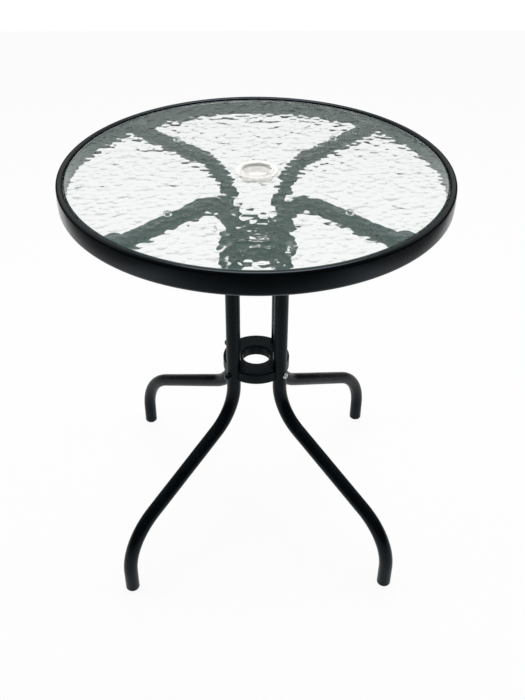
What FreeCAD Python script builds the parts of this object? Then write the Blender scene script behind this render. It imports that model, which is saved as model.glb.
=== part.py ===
import FreeCAD, Part
import math
import os
from types import SimpleNamespace

import Sketcher

# Round umbrella table: a glass top in a steel rim, on four bent tube legs that
# meet at two pierced hubs. Millimetres, +Z up, origin on the floor under the centre.

Vector = FreeCAD.Vector
Placement = FreeCAD.Placement
Rotation = FreeCAD.Rotation
UP = Vector(0, 0, 1)

SHEET_NAME = "Sizes"

# Driving sizes: name, value, what it measures
DRIVING_SIZES = [
    ("table_height", 700.0, "floor to the top of the rim"),
    ("rim_radius", 300.0, "outside of the rim"),
    ("rim_width", 11.0, "rim section, across"),
    ("rim_depth", 35.0, "rim section, top to bottom"),
    ("rim_edge", 4.5, "rounding of the rim section"),
    ("rim_wall", 1.2, "steel of the rolled rim"),
    ("glass_recess", 3.0, "glass face below the top of the rim"),
    ("glass_thickness", 5.0, "tempered glass"),
    ("glass_gap", 1.5, "glass edge to the rim"),
    ("glass_edge", 1.5, "rounding of the polished glass edge"),
    ("glass_hole_radius", 26.0, "umbrella hole in the glass"),
    ("hole_edge", 0.8, "rounding of the hole in the glass"),
    ("ring_bore_radius", 22.0, "way for the umbrella pole through the hole ring"),
    ("ring_flange_radius", 32.5, "flange of the hole ring"),
    ("ring_flange_height", 2.6, "flange of the hole ring above the glass"),
    ("ring_flange_edge", 1.2, "rounding of the flange"),
    ("ring_fit", 0.5, "hole ring sleeve to the glass"),
    ("ring_sleeve_length", 13.0, "hole ring sleeve below the glass face"),
    ("ring_bore_edge", 1.0, "rounding at the mouth of the hole ring"),
    ("tube_radius", 12.0, "outside of the leg tube"),
    ("tube_wall", 1.2, "steel of the leg tube"),
    ("arm_end_gap", 0.35, "end of the arm to the rim"),
    ("shoulder_bend", 60.0, "bend from the arm down to the upright"),
    ("upright_distance", 56.2, "axis to the centre of the upright"),
    ("hip_bend", 90.5, "bend from the upright out to the slope"),
    ("slope_angle", 60.9, "slope from the vertical, in degrees"),
    ("ankle_bend", 118.5, "bend from the slope down to the foot"),
    ("foot_distance", 317.0, "axis to the centre of the foot"),
    ("ankle_height", 42.5, "floor to the start of the ankle bend"),
    ("glide_head", 7.0, "foot glide below the tube"),
    ("glide_edge", 4.5, "rounding of the foot glide"),
    ("glide_stem", 14.0, "foot glide inside the tube"),
    ("glide_fit", 0.2, "foot glide to the bore of the tube"),
    ("bumper_distance", 180.5, "axis to a glass bumper"),
    ("bumper_radius", 6.3, "clear bumper under the glass"),
    ("bumper_height", 4.0, "glass to the arm"),
    ("bumper_edge", 1.0, "rounding of the bumper"),
    ("bumper_dimple_radius", 3.4, "hollow in the top of the bumper"),
    ("bumper_dimple_depth", 0.9, "hollow in the top of the bumper"),
    ("bumper_stem_radius", 2.4, "bumper stem in the arm"),
    ("bumper_stem_length", 4.5, "bumper stem below the top of the arm"),
    ("stem_fit", 0.1, "bumper stem to its hole"),
    ("tab_length", 26.0, "steel tab, from the rim inwards"),
    ("tab_width", 26.0, "steel tab, across"),
    ("tab_thickness", 3.0, "steel tab"),
    ("tab_corner", 5.0, "rounding of the inner corners of the tab"),
    ("tab_screw_inset", 13.0, "rim to the screw through the tab"),
    ("thread_radius", 3.0, "M6 screws and bolts"),
    ("thread_fit", 0.05, "thread in its tapped hole"),
    ("clear_fit", 0.3, "screw or bolt in its drilled hole"),
    ("screw_head_radius", 6.0, "pan head under the arm"),
    ("screw_head_height", 3.6, "pan head under the arm"),
    ("screw_head_edge", 1.8, "rounding of the pan head"),
    ("screw_tip_below", 0.5, "tip of the screw below the top of the tab"),
    ("drive_width", 4.0, "hexagon socket, across the flats"),
    ("drive_depth", 2.0, "hexagon socket"),
    ("hub_radius", 58.0, "outside of the hub"),
    ("hub_height", 21.0, "top to bottom of the hub"),
    ("hub_level", 337.0, "floor to the middle of the lower hub"),
    ("upper_hub_drop", 42.0, "foot of the shoulder bend to the middle of the upper hub"),
    ("hub_bore_radius", 25.0, "way for the umbrella pole through the hub"),
    ("hub_edge", 3.0, "rounding of the top of the hub"),
    ("hub_foot_edge", 1.2, "rounding of the bottom of the hub"),
    ("hub_bore_edge", 2.0, "bevel at both mouths of the hub bore"),
    ("hub_fit", 0.1, "hub to the leg tube"),
    ("hub_wall", 5.0, "walls round the hollows under the hub"),
    ("hub_roof", 6.0, "roof of the hollows under the hub"),
    ("hollow_half_angle", 19.0, "half width of each hollow under the hub, in degrees"),
    ("bolt_reach", 13.0, "bolt into the hub"),
    ("bolt_hole_spare", 2.0, "hole in the hub beyond the bolt"),
    ("bolt_head_radius", 5.25, "button head on the leg"),
    ("bolt_head_height", 3.3, "button head on the leg"),
    ("bolt_head_edge", 2.2, "rounding of the button head"),
    ("cover_radius", 6.4, "plastic cover over a bolt head"),
    ("cover_height", 8.0, "plastic cover over a bolt head"),
    ("cover_edge", 5.4, "rounding of the cover"),
    ("cover_fit", 0.15, "cover to the bolt head"),
    ("cover_grip", 4.0, "depth of the cover's hollow"),
    ("drill_overrun", 1.0, "cuts start this far outside the metal"),
]

LEG_AZIMUTHS = {"front_left": 225.0, "front_right": 315.0, "rear_right": 45.0, "rear_left": 135.0}
BARE_BOLT = "front_right_bolt"
HUB_TURN = 45.0


class Term:
    """A size that keeps its number together with the sheet formula behind it."""

    def __init__(self, value, text):
        self.value = float(value)
        self.text = text

    def __add__(self, other):
        other = as_term(other)
        return Term(self.value + other.value, f"({self.text} + {other.text})")

    def __sub__(self, other):
        other = as_term(other)
        return Term(self.value - other.value, f"({self.text} - {other.text})")

    def __mul__(self, other):
        other = as_term(other)
        return Term(self.value * other.value, f"({self.text} * {other.text})")

    def __truediv__(self, other):
        other = as_term(other)
        return Term(self.value / other.value, f"({self.text} / {other.text})")

    def __neg__(self):
        return Term(-self.value, f"(0 - {self.text})")

    def __rsub__(self, other):
        return as_term(other) - self


def as_term(number):
    """Return a plain number as a term, and a term unchanged."""
    if isinstance(number, Term):
        return number
    return Term(number, f"{number}")


def sin_of(angle):
    """Return the sine of an angle in degrees."""
    return Term(math.sin(math.radians(angle.value)), f"sin({angle.text})")


def cos_of(angle):
    """Return the cosine of an angle in degrees."""
    return Term(math.cos(math.radians(angle.value)), f"cos({angle.text})")


def root_of(term):
    """Return the square root of a term."""
    return Term(math.sqrt(term.value), f"sqrt({term.text})")


ZERO = as_term(0)


def make_sheet(doc):
    """Write the driving sizes into the sheet and return them as terms."""
    sheet = doc.addObject("Spreadsheet::Sheet", SHEET_NAME)
    sheet.set("A1", "size")
    sheet.set("B1", "value")
    sheet.set("C1", "measures")
    terms = {}
    for row, (name, value, note) in enumerate(DRIVING_SIZES, start=2):
        sheet.set(f"A{row}", name)
        sheet.set(f"B{row}", f"{value}")
        sheet.set(f"C{row}", note)
        sheet.setAlias(f"B{row}", name)
        terms[name] = Term(value, f"{SHEET_NAME}.{name}")
    doc.recompute()
    return SimpleNamespace(**terms)


def work_out_levels(size):
    """Work out the places that several pieces share."""
    place = SimpleNamespace()
    place.rim_inside = size.rim_radius - size.rim_width
    place.rim_bottom = size.table_height - size.rim_depth
    place.glass_top = size.table_height - size.glass_recess
    place.glass_bottom = place.glass_top - size.glass_thickness
    place.arm_top = place.glass_bottom - size.bumper_height
    place.arm_level = place.arm_top - size.tube_radius
    place.arm_bottom = place.arm_level - size.tube_radius
    place.upper_hub_level = place.arm_level - size.shoulder_bend - size.upper_hub_drop
    place.arm_end = place.rim_inside - size.arm_end_gap
    place.tab_top = place.arm_top + size.tab_thickness
    place.screw_distance = place.rim_inside - size.tab_screw_inset
    place.tube_bore = size.tube_radius - size.tube_wall
    place.leg_outside = size.upright_distance + size.tube_radius
    place.notch_depth = size.upright_distance - size.tube_radius - size.hub_fit
    place.bolt_tip = place.notch_depth - size.bolt_reach
    return place


def origin_feature(body, role):
    """Return the plane or axis of a body's origin that has the given role."""
    for feature in body.Origin.OriginFeatures:
        if feature.Role == role:
            return feature
    raise ValueError(f"no origin feature {role}")


def add_body(doc, label, azimuth=0.0):
    """Add a body with its own label, turned about the table's axis."""
    body = doc.addObject("PartDesign::Body", f"Body_{label}")
    body.Label = label
    body.Placement = Placement(Vector(0, 0, 0), Rotation(UP, azimuth))
    return body


def add_sketch(body, name, plane, offset=None):
    """Add a sketch on one of the body's own planes, moved along the plane's normal."""
    sketch = body.newObject("Sketcher::SketchObject", name)
    sketch.AttachmentSupport = (origin_feature(body, plane), [""])
    sketch.MapMode = "FlatFace"
    if offset is not None:
        sketch.AttachmentOffset = Placement(Vector(0, 0, offset.value), Rotation())
        sketch.setExpression("AttachmentOffset.Base.z", offset.text)
    return sketch


def bind_constraint(sketch, constraint, term):
    """Add a dimension to a sketch and bind it to its formula."""
    index = sketch.addConstraint(constraint)
    sketch.setExpression(f"Constraints[{index}]", term.text)


def pin_point(sketch, geometry, end, point):
    """Fix a point of a sketch at two terms, or on an axis where a term is zero."""
    across, along = point
    if across is ZERO:
        sketch.addConstraint(Sketcher.Constraint("PointOnObject", geometry, end, -2))
    else:
        held = Sketcher.Constraint("DistanceX", -1, 1, geometry, end, across.value)
        bind_constraint(sketch, held, across)
    if along is ZERO:
        sketch.addConstraint(Sketcher.Constraint("PointOnObject", geometry, end, -1))
    else:
        held = Sketcher.Constraint("DistanceY", -1, 1, geometry, end, along.value)
        bind_constraint(sketch, held, along)


def arc_between(start, end, radius, turn):
    """Return the short arc from start to end; turn is 1 anticlockwise, -1 clockwise."""
    chord = end - start
    half = chord.Length / 2
    side = Vector(-chord.y, chord.x, 0).normalize()
    centre = start + chord / 2 + side * (turn * math.sqrt(radius * radius - half * half))
    first, last = (start, end) if turn > 0 else (end, start)
    begin = math.atan2(first.y - centre.y, first.x - centre.x)
    finish = math.atan2(last.y - centre.y, last.x - centre.x)
    return Part.ArcOfCircle(Part.Circle(centre, UP, radius), begin, finish)


def draw_outline(sketch, points, arcs=None, closed=True):
    """Draw lines and arcs through points whose places are bound to formulas.

    arcs maps the number of a point to the radius and turn of the arc that leaves it.
    """
    arcs = arcs or {}
    spots = [Vector(x.value, y.value, 0) for x, y in points]
    edges = len(points) if closed else len(points) - 1
    ends = []
    for number in range(edges):
        start = spots[number]
        end = spots[(number + 1) % len(points)]
        if number in arcs:
            radius, turn = arcs[number]
            geometry = sketch.addGeometry(arc_between(start, end, radius.value, turn), False)
            ends.append((geometry, 1, 2) if turn > 0 else (geometry, 2, 1))
        else:
            geometry = sketch.addGeometry(Part.LineSegment(start, end), False)
            ends.append((geometry, 1, 2))
    for number in range(edges):
        geometry, first, last = ends[number]
        follows = number + 1 < edges or closed
        if follows:
            next_geometry, next_first, _ = ends[(number + 1) % edges]
            joined = Sketcher.Constraint("Coincident", geometry, last, next_geometry, next_first)
            sketch.addConstraint(joined)
        pin_point(sketch, geometry, first, points[number])
        if not follows:
            pin_point(sketch, geometry, last, points[number + 1])
    for number, (radius, _) in arcs.items():
        held = Sketcher.Constraint("Radius", ends[number][0], radius.value)
        bind_constraint(sketch, held, radius)


def draw_circle(sketch, centre, radius):
    """Draw a circle whose centre and radius are bound to formulas."""
    spot = Vector(centre[0].value, centre[1].value, 0)
    geometry = sketch.addGeometry(Part.Circle(spot, UP, radius.value), False)
    pin_point(sketch, geometry, 3, centre)
    bind_constraint(sketch, Sketcher.Constraint("Radius", geometry, radius.value), radius)


def draw_rounded_box(sketch, left, right, bottom, top, radius):
    """Draw a box with four rounded corners."""
    points = [
        (left + radius, bottom), (right - radius, bottom),
        (right, bottom + radius), (right, top - radius),
        (right - radius, top), (left + radius, top),
        (left, top - radius), (left, bottom + radius),
    ]
    draw_outline(sketch, points, {number: (radius, 1) for number in (1, 3, 5, 7)})


def draw_hexagon(sketch, centre, width):
    """Draw a hexagon of a width across its flats, with two flats upright."""
    half = width / 2
    side = width / root_of(as_term(3))
    middle, level = centre
    points = [
        (middle + half, level - side / 2), (middle + half, level + side / 2),
        (middle, level + side), (middle - half, level + side / 2),
        (middle - half, level - side / 2), (middle, level - side),
    ]
    draw_outline(sketch, points)


def revolve(body, name, sketch):
    """Revolve a sketch once round the upright axis of its plane."""
    feature = body.newObject("PartDesign::Revolution", name)
    feature.Profile = sketch
    feature.ReferenceAxis = (sketch, ["V_Axis"])
    feature.Angle = 360.0
    body.Document.recompute()
    return feature


def pad(body, name, sketch, length):
    """Raise a sketch along its normal."""
    feature = body.newObject("PartDesign::Pad", name)
    feature.Profile = sketch
    feature.Length = length.value
    feature.setExpression("Length", length.text)
    body.Document.recompute()
    return feature


def pocket(body, name, sketch, depth, upwards=False):
    """Cut a sketch into the body, against its normal, and check that material went."""
    before = body.Shape.Volume
    feature = body.newObject("PartDesign::Pocket", name)
    feature.Profile = sketch
    feature.Length = depth.value
    feature.setExpression("Length", depth.text)
    feature.Reversed = upwards
    body.Document.recompute()
    if body.Shape.Volume >= before:
        raise ValueError(f"{name} of {body.Label} cuts nothing")
    return feature


def spread_round(body, name, features, count):
    """Repeat features about the upright axis and check that each copy cuts alike."""
    pattern = body.newObject("PartDesign::PolarPattern", name)
    pattern.Originals = features
    pattern.Axis = (origin_feature(body, "Z_Axis"), [""])
    pattern.Angle = 360.0
    pattern.Occurrences = count
    body.Tip = pattern
    body.Document.recompute()
    return pattern


def circle_edges(shape, radius, level):
    """Return the names of the whole circles about the Z axis with a radius at a level."""
    names = []
    for number, edge in enumerate(shape.Edges, start=1):
        if not isinstance(edge.Curve, Part.Circle):
            continue
        centre = edge.Curve.Center
        on_axis = math.hypot(centre.x, centre.y) < 0.01
        right_size = abs(edge.Curve.Radius - radius.value) < 0.01
        if on_axis and right_size and abs(centre.z - level.value) < 0.01:
            names.append(f"Edge{number}")
    if not names:
        raise ValueError(f"no circle of radius {radius.value} at {level.value}")
    return names


def round_edges(body, name, base, circles, radius):
    """Round whole circles, each given as a radius and a level."""
    edges = []
    for circle_radius, level in circles:
        edges += circle_edges(base.Shape, circle_radius, level)
    feature = body.newObject("PartDesign::Fillet", name)
    feature.Base = (base, edges)
    feature.Radius = radius.value
    feature.setExpression("Radius", radius.text)
    body.Document.recompute()
    return feature


def bevel_edges(body, name, base, circles, width):
    """Bevel whole circles, each given as a radius and a level."""
    edges = []
    for circle_radius, level in circles:
        edges += circle_edges(base.Shape, circle_radius, level)
    feature = body.newObject("PartDesign::Chamfer", name)
    feature.Base = (base, edges)
    feature.Size = width.value
    feature.setExpression("Size", width.text)
    body.Document.recompute()
    return feature


def make_rim(doc, size, place):
    """Rolled hollow steel ring with rounded edges."""
    body = add_body(doc, "rim")
    sketch = add_sketch(body, "RimSection", "XZ_Plane")
    draw_rounded_box(sketch, place.rim_inside, size.rim_radius,
                     place.rim_bottom, size.table_height, size.rim_edge)
    draw_rounded_box(sketch, place.rim_inside + size.rim_wall, size.rim_radius - size.rim_wall,
                     place.rim_bottom + size.rim_wall, size.table_height - size.rim_wall,
                     size.rim_edge - size.rim_wall)
    revolve(body, "RimRing", sketch)
    return body


def make_rim_tab(doc, corner, azimuth, size, place):
    """Steel tab welded inside the rim, resting on the arm, tapped for the screw."""
    body = add_body(doc, f"{corner}_rim_tab", azimuth)
    half = size.tab_width / 2
    wall_side = root_of(place.rim_inside * place.rim_inside - half * half)
    nose = place.rim_inside - size.tab_length
    shoulder = nose + size.tab_corner
    sketch = add_sketch(body, "TabOutline", "XY_Plane", place.arm_top)
    points = [
        (wall_side, -half), (wall_side, half),
        (shoulder, half), (nose, half - size.tab_corner),
        (nose, size.tab_corner - half), (shoulder, -half),
    ]
    arcs = {0: (place.rim_inside, 1), 2: (size.tab_corner, 1), 4: (size.tab_corner, 1)}
    draw_outline(sketch, points, arcs)
    pad(body, "TabPlate", sketch, size.tab_thickness)
    hole = add_sketch(body, "TappedHole", "XY_Plane", place.tab_top)
    draw_circle(hole, (place.screw_distance, ZERO), size.thread_radius + size.thread_fit)
    pocket(body, "ScrewThread", hole, size.tab_thickness)
    return body


def make_glass(doc, size, place):
    """Round tempered glass with polished edges and the umbrella hole."""
    body = add_body(doc, "glass_top")
    glass_radius = place.rim_inside - size.glass_gap
    sketch = add_sketch(body, "GlassOutline", "XY_Plane", place.glass_bottom)
    draw_circle(sketch, (ZERO, ZERO), glass_radius)
    draw_circle(sketch, (ZERO, ZERO), size.glass_hole_radius)
    disc = pad(body, "GlassDisc", sketch, size.glass_thickness)
    faces = (place.glass_top, place.glass_bottom)
    rims = [(glass_radius, level) for level in faces]
    edge = round_edges(body, "PolishedEdge", disc, rims, size.glass_edge)
    holes = [(size.glass_hole_radius, level) for level in faces]
    round_edges(body, "PolishedHole", edge, holes, size.hole_edge)
    return body


def make_hole_ring(doc, size, place):
    """Clear flanged ring that lines the umbrella hole in the glass."""
    body = add_body(doc, "hole_ring")
    sleeve = size.glass_hole_radius - size.ring_fit
    top = place.glass_top + size.ring_flange_height
    bottom = place.glass_top - size.ring_sleeve_length
    sketch = add_sketch(body, "RingSection", "XZ_Plane")
    mouth = size.ring_bore_radius + size.ring_bore_edge
    lip = size.ring_flange_radius - size.ring_flange_edge
    points = [
        (size.ring_bore_radius, bottom), (sleeve, bottom),
        (sleeve, place.glass_top), (size.ring_flange_radius, place.glass_top),
        (size.ring_flange_radius, top - size.ring_flange_edge), (lip, top),
        (mouth, top), (size.ring_bore_radius, top - size.ring_bore_edge),
    ]
    arcs = {4: (size.ring_flange_edge, 1), 6: (size.ring_bore_edge, 1)}
    draw_outline(sketch, points, arcs)
    revolve(body, "RingTurned", sketch)
    return body


def leg_path(size, place):
    """Return the points and arcs of a leg's centre line, from the rim to the foot."""
    bends = size.hip_bend + size.ankle_bend
    drop = 1 - cos_of(size.slope_angle)
    run = (size.foot_distance - size.upright_distance - bends * drop) / sin_of(size.slope_angle)
    hip_x = size.upright_distance + size.hip_bend * drop
    ankle_x = size.foot_distance - size.ankle_bend * drop
    ankle_z = size.ankle_height + size.ankle_bend * sin_of(size.slope_angle)
    hip_z = ankle_z + run * cos_of(size.slope_angle)
    upright_end = hip_z + size.hip_bend * sin_of(size.slope_angle)
    points = [
        (place.arm_end, place.arm_level),
        (size.upright_distance + size.shoulder_bend, place.arm_level),
        (size.upright_distance, place.arm_level - size.shoulder_bend),
        (size.upright_distance, upright_end),
        (hip_x, hip_z),
        (ankle_x, ankle_z),
        (size.foot_distance, size.ankle_height),
        (size.foot_distance, size.glide_head),
    ]
    arcs = {1: (size.shoulder_bend, 1), 3: (size.hip_bend, 1), 5: (size.ankle_bend, -1)}
    return points, arcs


def make_leg(doc, corner, azimuth, size, place):
    """Steel tube bent four ways: arm, upright, slope and foot, drilled for its fixings."""
    body = add_body(doc, f"{corner}_leg", azimuth)
    points, arcs = leg_path(size, place)
    path = add_sketch(body, "LegPath", "XZ_Plane")
    draw_outline(path, points, arcs, closed=False)
    section = add_sketch(body, "TubeSection", "YZ_Plane", place.arm_end)
    draw_circle(section, (ZERO, place.arm_level), size.tube_radius)
    draw_circle(section, (ZERO, place.arm_level), place.tube_bore)
    doc.recompute()
    tube = body.newObject("PartDesign::AdditivePipe", "LegTube")
    tube.Profile = section
    tube.Spine = (path, [])
    doc.recompute()
    section_area = math.pi * (size.tube_radius.value ** 2 - place.tube_bore.value ** 2)
    expected = section_area * path.Shape.Length
    if abs(body.Shape.Volume - expected) > 0.002 * expected:
        raise ValueError(f"{body.Label} holds {body.Shape.Volume}, not {expected}")
    through = (size.tube_radius + size.drill_overrun) * 2
    drill_radius = size.thread_radius + size.clear_fit
    start = place.arm_top + size.drill_overrun
    screw_hole = add_sketch(body, "ScrewHole", "XY_Plane", start)
    draw_circle(screw_hole, (place.screw_distance, ZERO), drill_radius)
    pocket(body, "ScrewDrilling", screw_hole, through)
    stem_hole = add_sketch(body, "StemHole", "XY_Plane", start)
    draw_circle(stem_hole, (size.bumper_distance, ZERO), size.bumper_stem_radius + size.stem_fit)
    pocket(body, "StemDrilling", stem_hole, size.drill_overrun + size.tube_radius)
    outside = place.leg_outside + size.drill_overrun
    bolt_holes = add_sketch(body, "BoltHoles", "YZ_Plane", outside)
    draw_circle(bolt_holes, (ZERO, size.hub_level), drill_radius)
    draw_circle(bolt_holes, (ZERO, place.upper_hub_level), drill_radius)
    pocket(body, "BoltDrilling", bolt_holes, through)
    return body


def place_out(body, azimuth, reach):
    """Stand a body at a distance from the table's axis."""
    across = reach * cos_of(as_term(azimuth))
    along = reach * sin_of(as_term(azimuth))
    body.Placement = Placement(Vector(across.value, along.value, 0), Rotation(UP, azimuth))
    body.setExpression("Placement.Base.x", across.text)
    body.setExpression("Placement.Base.y", along.text)


def lay_out(body, azimuth, reach, level):
    """Lay a body on its side, so that its upright axis points away from the table's."""
    across = reach * cos_of(as_term(azimuth))
    along = reach * sin_of(as_term(azimuth))
    turn = Rotation(UP, azimuth) * Rotation(Vector(0, 1, 0), 90)
    body.Placement = Placement(Vector(across.value, along.value, level.value), turn)
    body.setExpression("Placement.Base.x", across.text)
    body.setExpression("Placement.Base.y", along.text)
    body.setExpression("Placement.Base.z", level.text)


def make_foot_glide(doc, corner, azimuth, size, place):
    """Plug with a domed head that closes the foot of a leg."""
    body = add_body(doc, f"{corner}_foot_glide")
    place_out(body, azimuth, size.foot_distance)
    stem = place.tube_bore - size.glide_fit
    stem_top = size.glide_head + size.glide_stem
    sketch = add_sketch(body, "GlideSection", "XZ_Plane")
    points = [
        (ZERO, ZERO), (size.tube_radius - size.glide_edge, ZERO),
        (size.tube_radius, size.glide_edge), (size.tube_radius, size.glide_head),
        (stem, size.glide_head), (stem, stem_top), (ZERO, stem_top),
    ]
    draw_outline(sketch, points, {1: (size.glide_edge, 1)})
    revolve(body, "GlideTurned", sketch)
    return body


def make_bumper(doc, corner, azimuth, size, place):
    """Clear soft bumper, dimpled on top, with a stem pushed into the arm."""
    body = add_body(doc, f"{corner}_bumper")
    place_out(body, azimuth, size.bumper_distance)
    stem_bottom = place.arm_top - size.bumper_stem_length
    top = place.glass_bottom
    floor = top - size.bumper_dimple_depth
    lip = size.bumper_radius - size.bumper_edge
    sketch = add_sketch(body, "BumperSection", "XZ_Plane")
    points = [
        (ZERO, stem_bottom), (size.bumper_stem_radius, stem_bottom),
        (size.bumper_stem_radius, place.arm_top), (size.bumper_radius, place.arm_top),
        (size.bumper_radius, top - size.bumper_edge), (lip, top),
        (size.bumper_dimple_radius, top), (ZERO, floor),
    ]
    draw_outline(sketch, points, {4: (size.bumper_edge, 1)})
    revolve(body, "BumperTurned", sketch)
    return body


def make_rim_screw(doc, corner, azimuth, size, place):
    """Pan-head screw up through the arm into the rim tab."""
    body = add_body(doc, f"{corner}_rim_screw")
    place_out(body, azimuth, place.screw_distance)
    head_bottom = place.arm_bottom - size.screw_head_height
    tip = place.tab_top - size.screw_tip_below
    shoulder = size.screw_head_radius - size.screw_head_edge
    sketch = add_sketch(body, "ScrewSection", "XZ_Plane")
    points = [
        (ZERO, head_bottom), (shoulder, head_bottom),
        (size.screw_head_radius, head_bottom + size.screw_head_edge),
        (size.screw_head_radius, place.arm_bottom), (size.thread_radius, place.arm_bottom),
        (size.thread_radius, tip), (ZERO, tip),
    ]
    draw_outline(sketch, points, {1: (size.screw_head_edge, 1)})
    revolve(body, "ScrewTurned", sketch)
    drive = add_sketch(body, "ScrewDrive", "XY_Plane", head_bottom)
    draw_hexagon(drive, (ZERO, ZERO), size.drive_width)
    pocket(body, "ScrewSocket", drive, size.drive_depth, upwards=True)
    return body


def make_hub(doc, label, level, size, place):
    """Moulded hub with four notches for the legs, a bore for the pole and hollows below."""
    body = add_body(doc, label, HUB_TURN)
    top = level + size.hub_height / 2
    bottom = level - size.hub_height / 2
    outline = add_sketch(body, "HubOutline", "XY_Plane", bottom)
    draw_circle(outline, (ZERO, ZERO), size.hub_radius)
    draw_circle(outline, (ZERO, ZERO), size.hub_bore_radius)
    puck = pad(body, "HubPuck", outline, size.hub_height)
    crown = round_edges(body, "HubCrown", puck, [(size.hub_radius, top)], size.hub_edge)
    foot = round_edges(body, "HubFoot", crown, [(size.hub_radius, bottom)], size.hub_foot_edge)
    mouths = [(size.hub_bore_radius, top), (size.hub_bore_radius, bottom)]
    bevel_edges(body, "HubMouths", foot, mouths, size.hub_bore_edge)
    cut_notches(body, top, size)
    cut_hollows(body, bottom, size)
    cut_bolt_holes(body, level, size, place)
    return body


def cut_notches(body, top, size):
    """Cut the round notches in which the four uprights lie."""
    sketch = add_sketch(body, "NotchOutline", "XY_Plane", top)
    draw_circle(sketch, (size.upright_distance, ZERO), size.tube_radius + size.hub_fit)
    notch = pocket(body, "LegNotch", sketch, size.hub_height)
    spread_round(body, "LegNotches", [notch], len(LEG_AZIMUTHS))


def cut_hollows(body, bottom, size):
    """Hollow the underside between the notches, as a moulding is, to keep its walls even."""
    inner = size.hub_bore_radius + size.hub_bore_edge + size.hub_wall
    outer = size.hub_radius - size.hub_wall
    middle = as_term(HUB_TURN)
    low = middle - size.hollow_half_angle
    high = middle + size.hollow_half_angle
    corners = [(inner, low), (outer, low), (outer, high), (inner, high)]
    points = [(reach * cos_of(angle), reach * sin_of(angle)) for reach, angle in corners]
    sketch = add_sketch(body, "HollowOutline", "XY_Plane", bottom)
    draw_outline(sketch, points, {1: (outer, 1), 3: (inner, -1)})
    hollow = pocket(body, "HubHollow", sketch, size.hub_height - size.hub_roof, upwards=True)
    spread_round(body, "HubHollows", [hollow], len(LEG_AZIMUTHS))


def cut_bolt_holes(body, level, size, place):
    """Cut the blind tapped holes at the bottom of the notches."""
    sketch = add_sketch(body, "TappedHole", "YZ_Plane", size.upright_distance)
    draw_circle(sketch, (ZERO, level), size.thread_radius + size.thread_fit)
    depth = size.upright_distance - place.bolt_tip + size.bolt_hole_spare
    hole = pocket(body, "BoltThread", sketch, depth)
    spread_round(body, "BoltThreads", [hole], len(LEG_AZIMUTHS))


def make_hub_bolt(doc, label, azimuth, level, size, place):
    """Button-head bolt through an upright into a hub."""
    body = add_body(doc, label)
    lay_out(body, azimuth, place.leg_outside, level)
    shank = place.leg_outside - place.bolt_tip
    head = size.bolt_head_radius
    sketch = add_sketch(body, "BoltSection", "XZ_Plane")
    points = [
        (ZERO, -shank), (size.thread_radius, -shank), (size.thread_radius, ZERO),
        (head, ZERO), (head, size.bolt_head_height - size.bolt_head_edge),
        (head - size.bolt_head_edge, size.bolt_head_height), (ZERO, size.bolt_head_height),
    ]
    draw_outline(sketch, points, {4: (size.bolt_head_edge, 1)})
    revolve(body, "BoltTurned", sketch)
    drive = add_sketch(body, "BoltDrive", "XY_Plane", size.bolt_head_height)
    draw_hexagon(drive, (ZERO, ZERO), size.drive_width)
    pocket(body, "BoltSocket", drive, size.drive_depth)
    return body


def make_bolt_cover(doc, label, azimuth, level, size, place):
    """Domed plastic cover pressed over the head of a hub bolt."""
    body = add_body(doc, label)
    lay_out(body, azimuth, place.leg_outside, level)
    hollow = size.bolt_head_radius + size.cover_fit
    shoulder = size.cover_radius - size.cover_edge
    sketch = add_sketch(body, "CoverSection", "XZ_Plane")
    points = [
        (hollow, ZERO), (size.cover_radius, ZERO),
        (size.cover_radius, size.cover_height - size.cover_edge), (shoulder, size.cover_height),
        (ZERO, size.cover_height), (ZERO, size.cover_grip), (hollow, size.cover_grip),
    ]
    draw_outline(sketch, points, {2: (size.cover_edge, 1)})
    revolve(body, "CoverTurned", sketch)
    return body


def group_solids(doc, label, bodies):
    """Gather identical fasteners in one sub-part of separate solids."""
    group = doc.addObject("Part::Compound", f"Group_{label}")
    group.Label = label
    group.Links = bodies
    doc.recompute()
    return group


def make_table(doc, size):
    """Build every sub-part and return the ones that become files."""
    place = work_out_levels(size)
    subparts = [make_rim(doc, size, place), make_glass(doc, size, place),
                make_hole_ring(doc, size, place)]
    hubs = (("hub", "bolt", size.hub_level), ("upper_hub", "upper_bolt", place.upper_hub_level))
    for label, _, level in hubs:
        subparts.append(make_hub(doc, label, level, size, place))
    rim_screws = []
    hub_bolts = []
    for corner, azimuth in LEG_AZIMUTHS.items():
        for make in (make_leg, make_foot_glide, make_bumper, make_rim_tab):
            subparts.append(make(doc, corner, azimuth, size, place))
        rim_screws.append(make_rim_screw(doc, corner, azimuth, size, place))
        for _, kind, level in hubs:
            bolt = f"{corner}_{kind}"
            hub_bolts.append(make_hub_bolt(doc, bolt, azimuth, level, size, place))
            if bolt != BARE_BOLT:
                cover = make_bolt_cover(doc, f"{bolt}_cover", azimuth, level, size, place)
                subparts.append(cover)
    subparts.append(group_solids(doc, "rim_screws", rim_screws))
    subparts.append(group_solids(doc, "hub_bolts", hub_bolts))
    return subparts


def check_model(doc, subparts):
    """Stop if any object failed or any sub-part has no sound shape."""
    for item in doc.Objects:
        if "Invalid" in item.State or "Error" in item.State:
            raise ValueError(f"{item.Label} failed: {item.State}")
    for item in subparts:
        if item.Shape.isNull() or not item.Shape.isValid():
            raise ValueError(f"{item.Label} has no sound shape")


def write_parts(subparts):
    """Write each sub-part to a file of its own."""
    os.makedirs("parts", exist_ok=True)
    for item in subparts:
        item.Shape.exportStep(os.path.join("parts", f"{item.Label}.step"))
        print(item.Label, len(item.Shape.Solids), round(item.Shape.Volume, 1))


def main():
    """Build the document, check it and write its sub-parts."""
    doc = FreeCAD.newDocument("UmbrellaTable")
    size = make_sheet(doc)
    subparts = make_table(doc, size)
    doc.recompute()
    check_model(doc, subparts)
    write_parts(subparts)


main()
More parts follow.
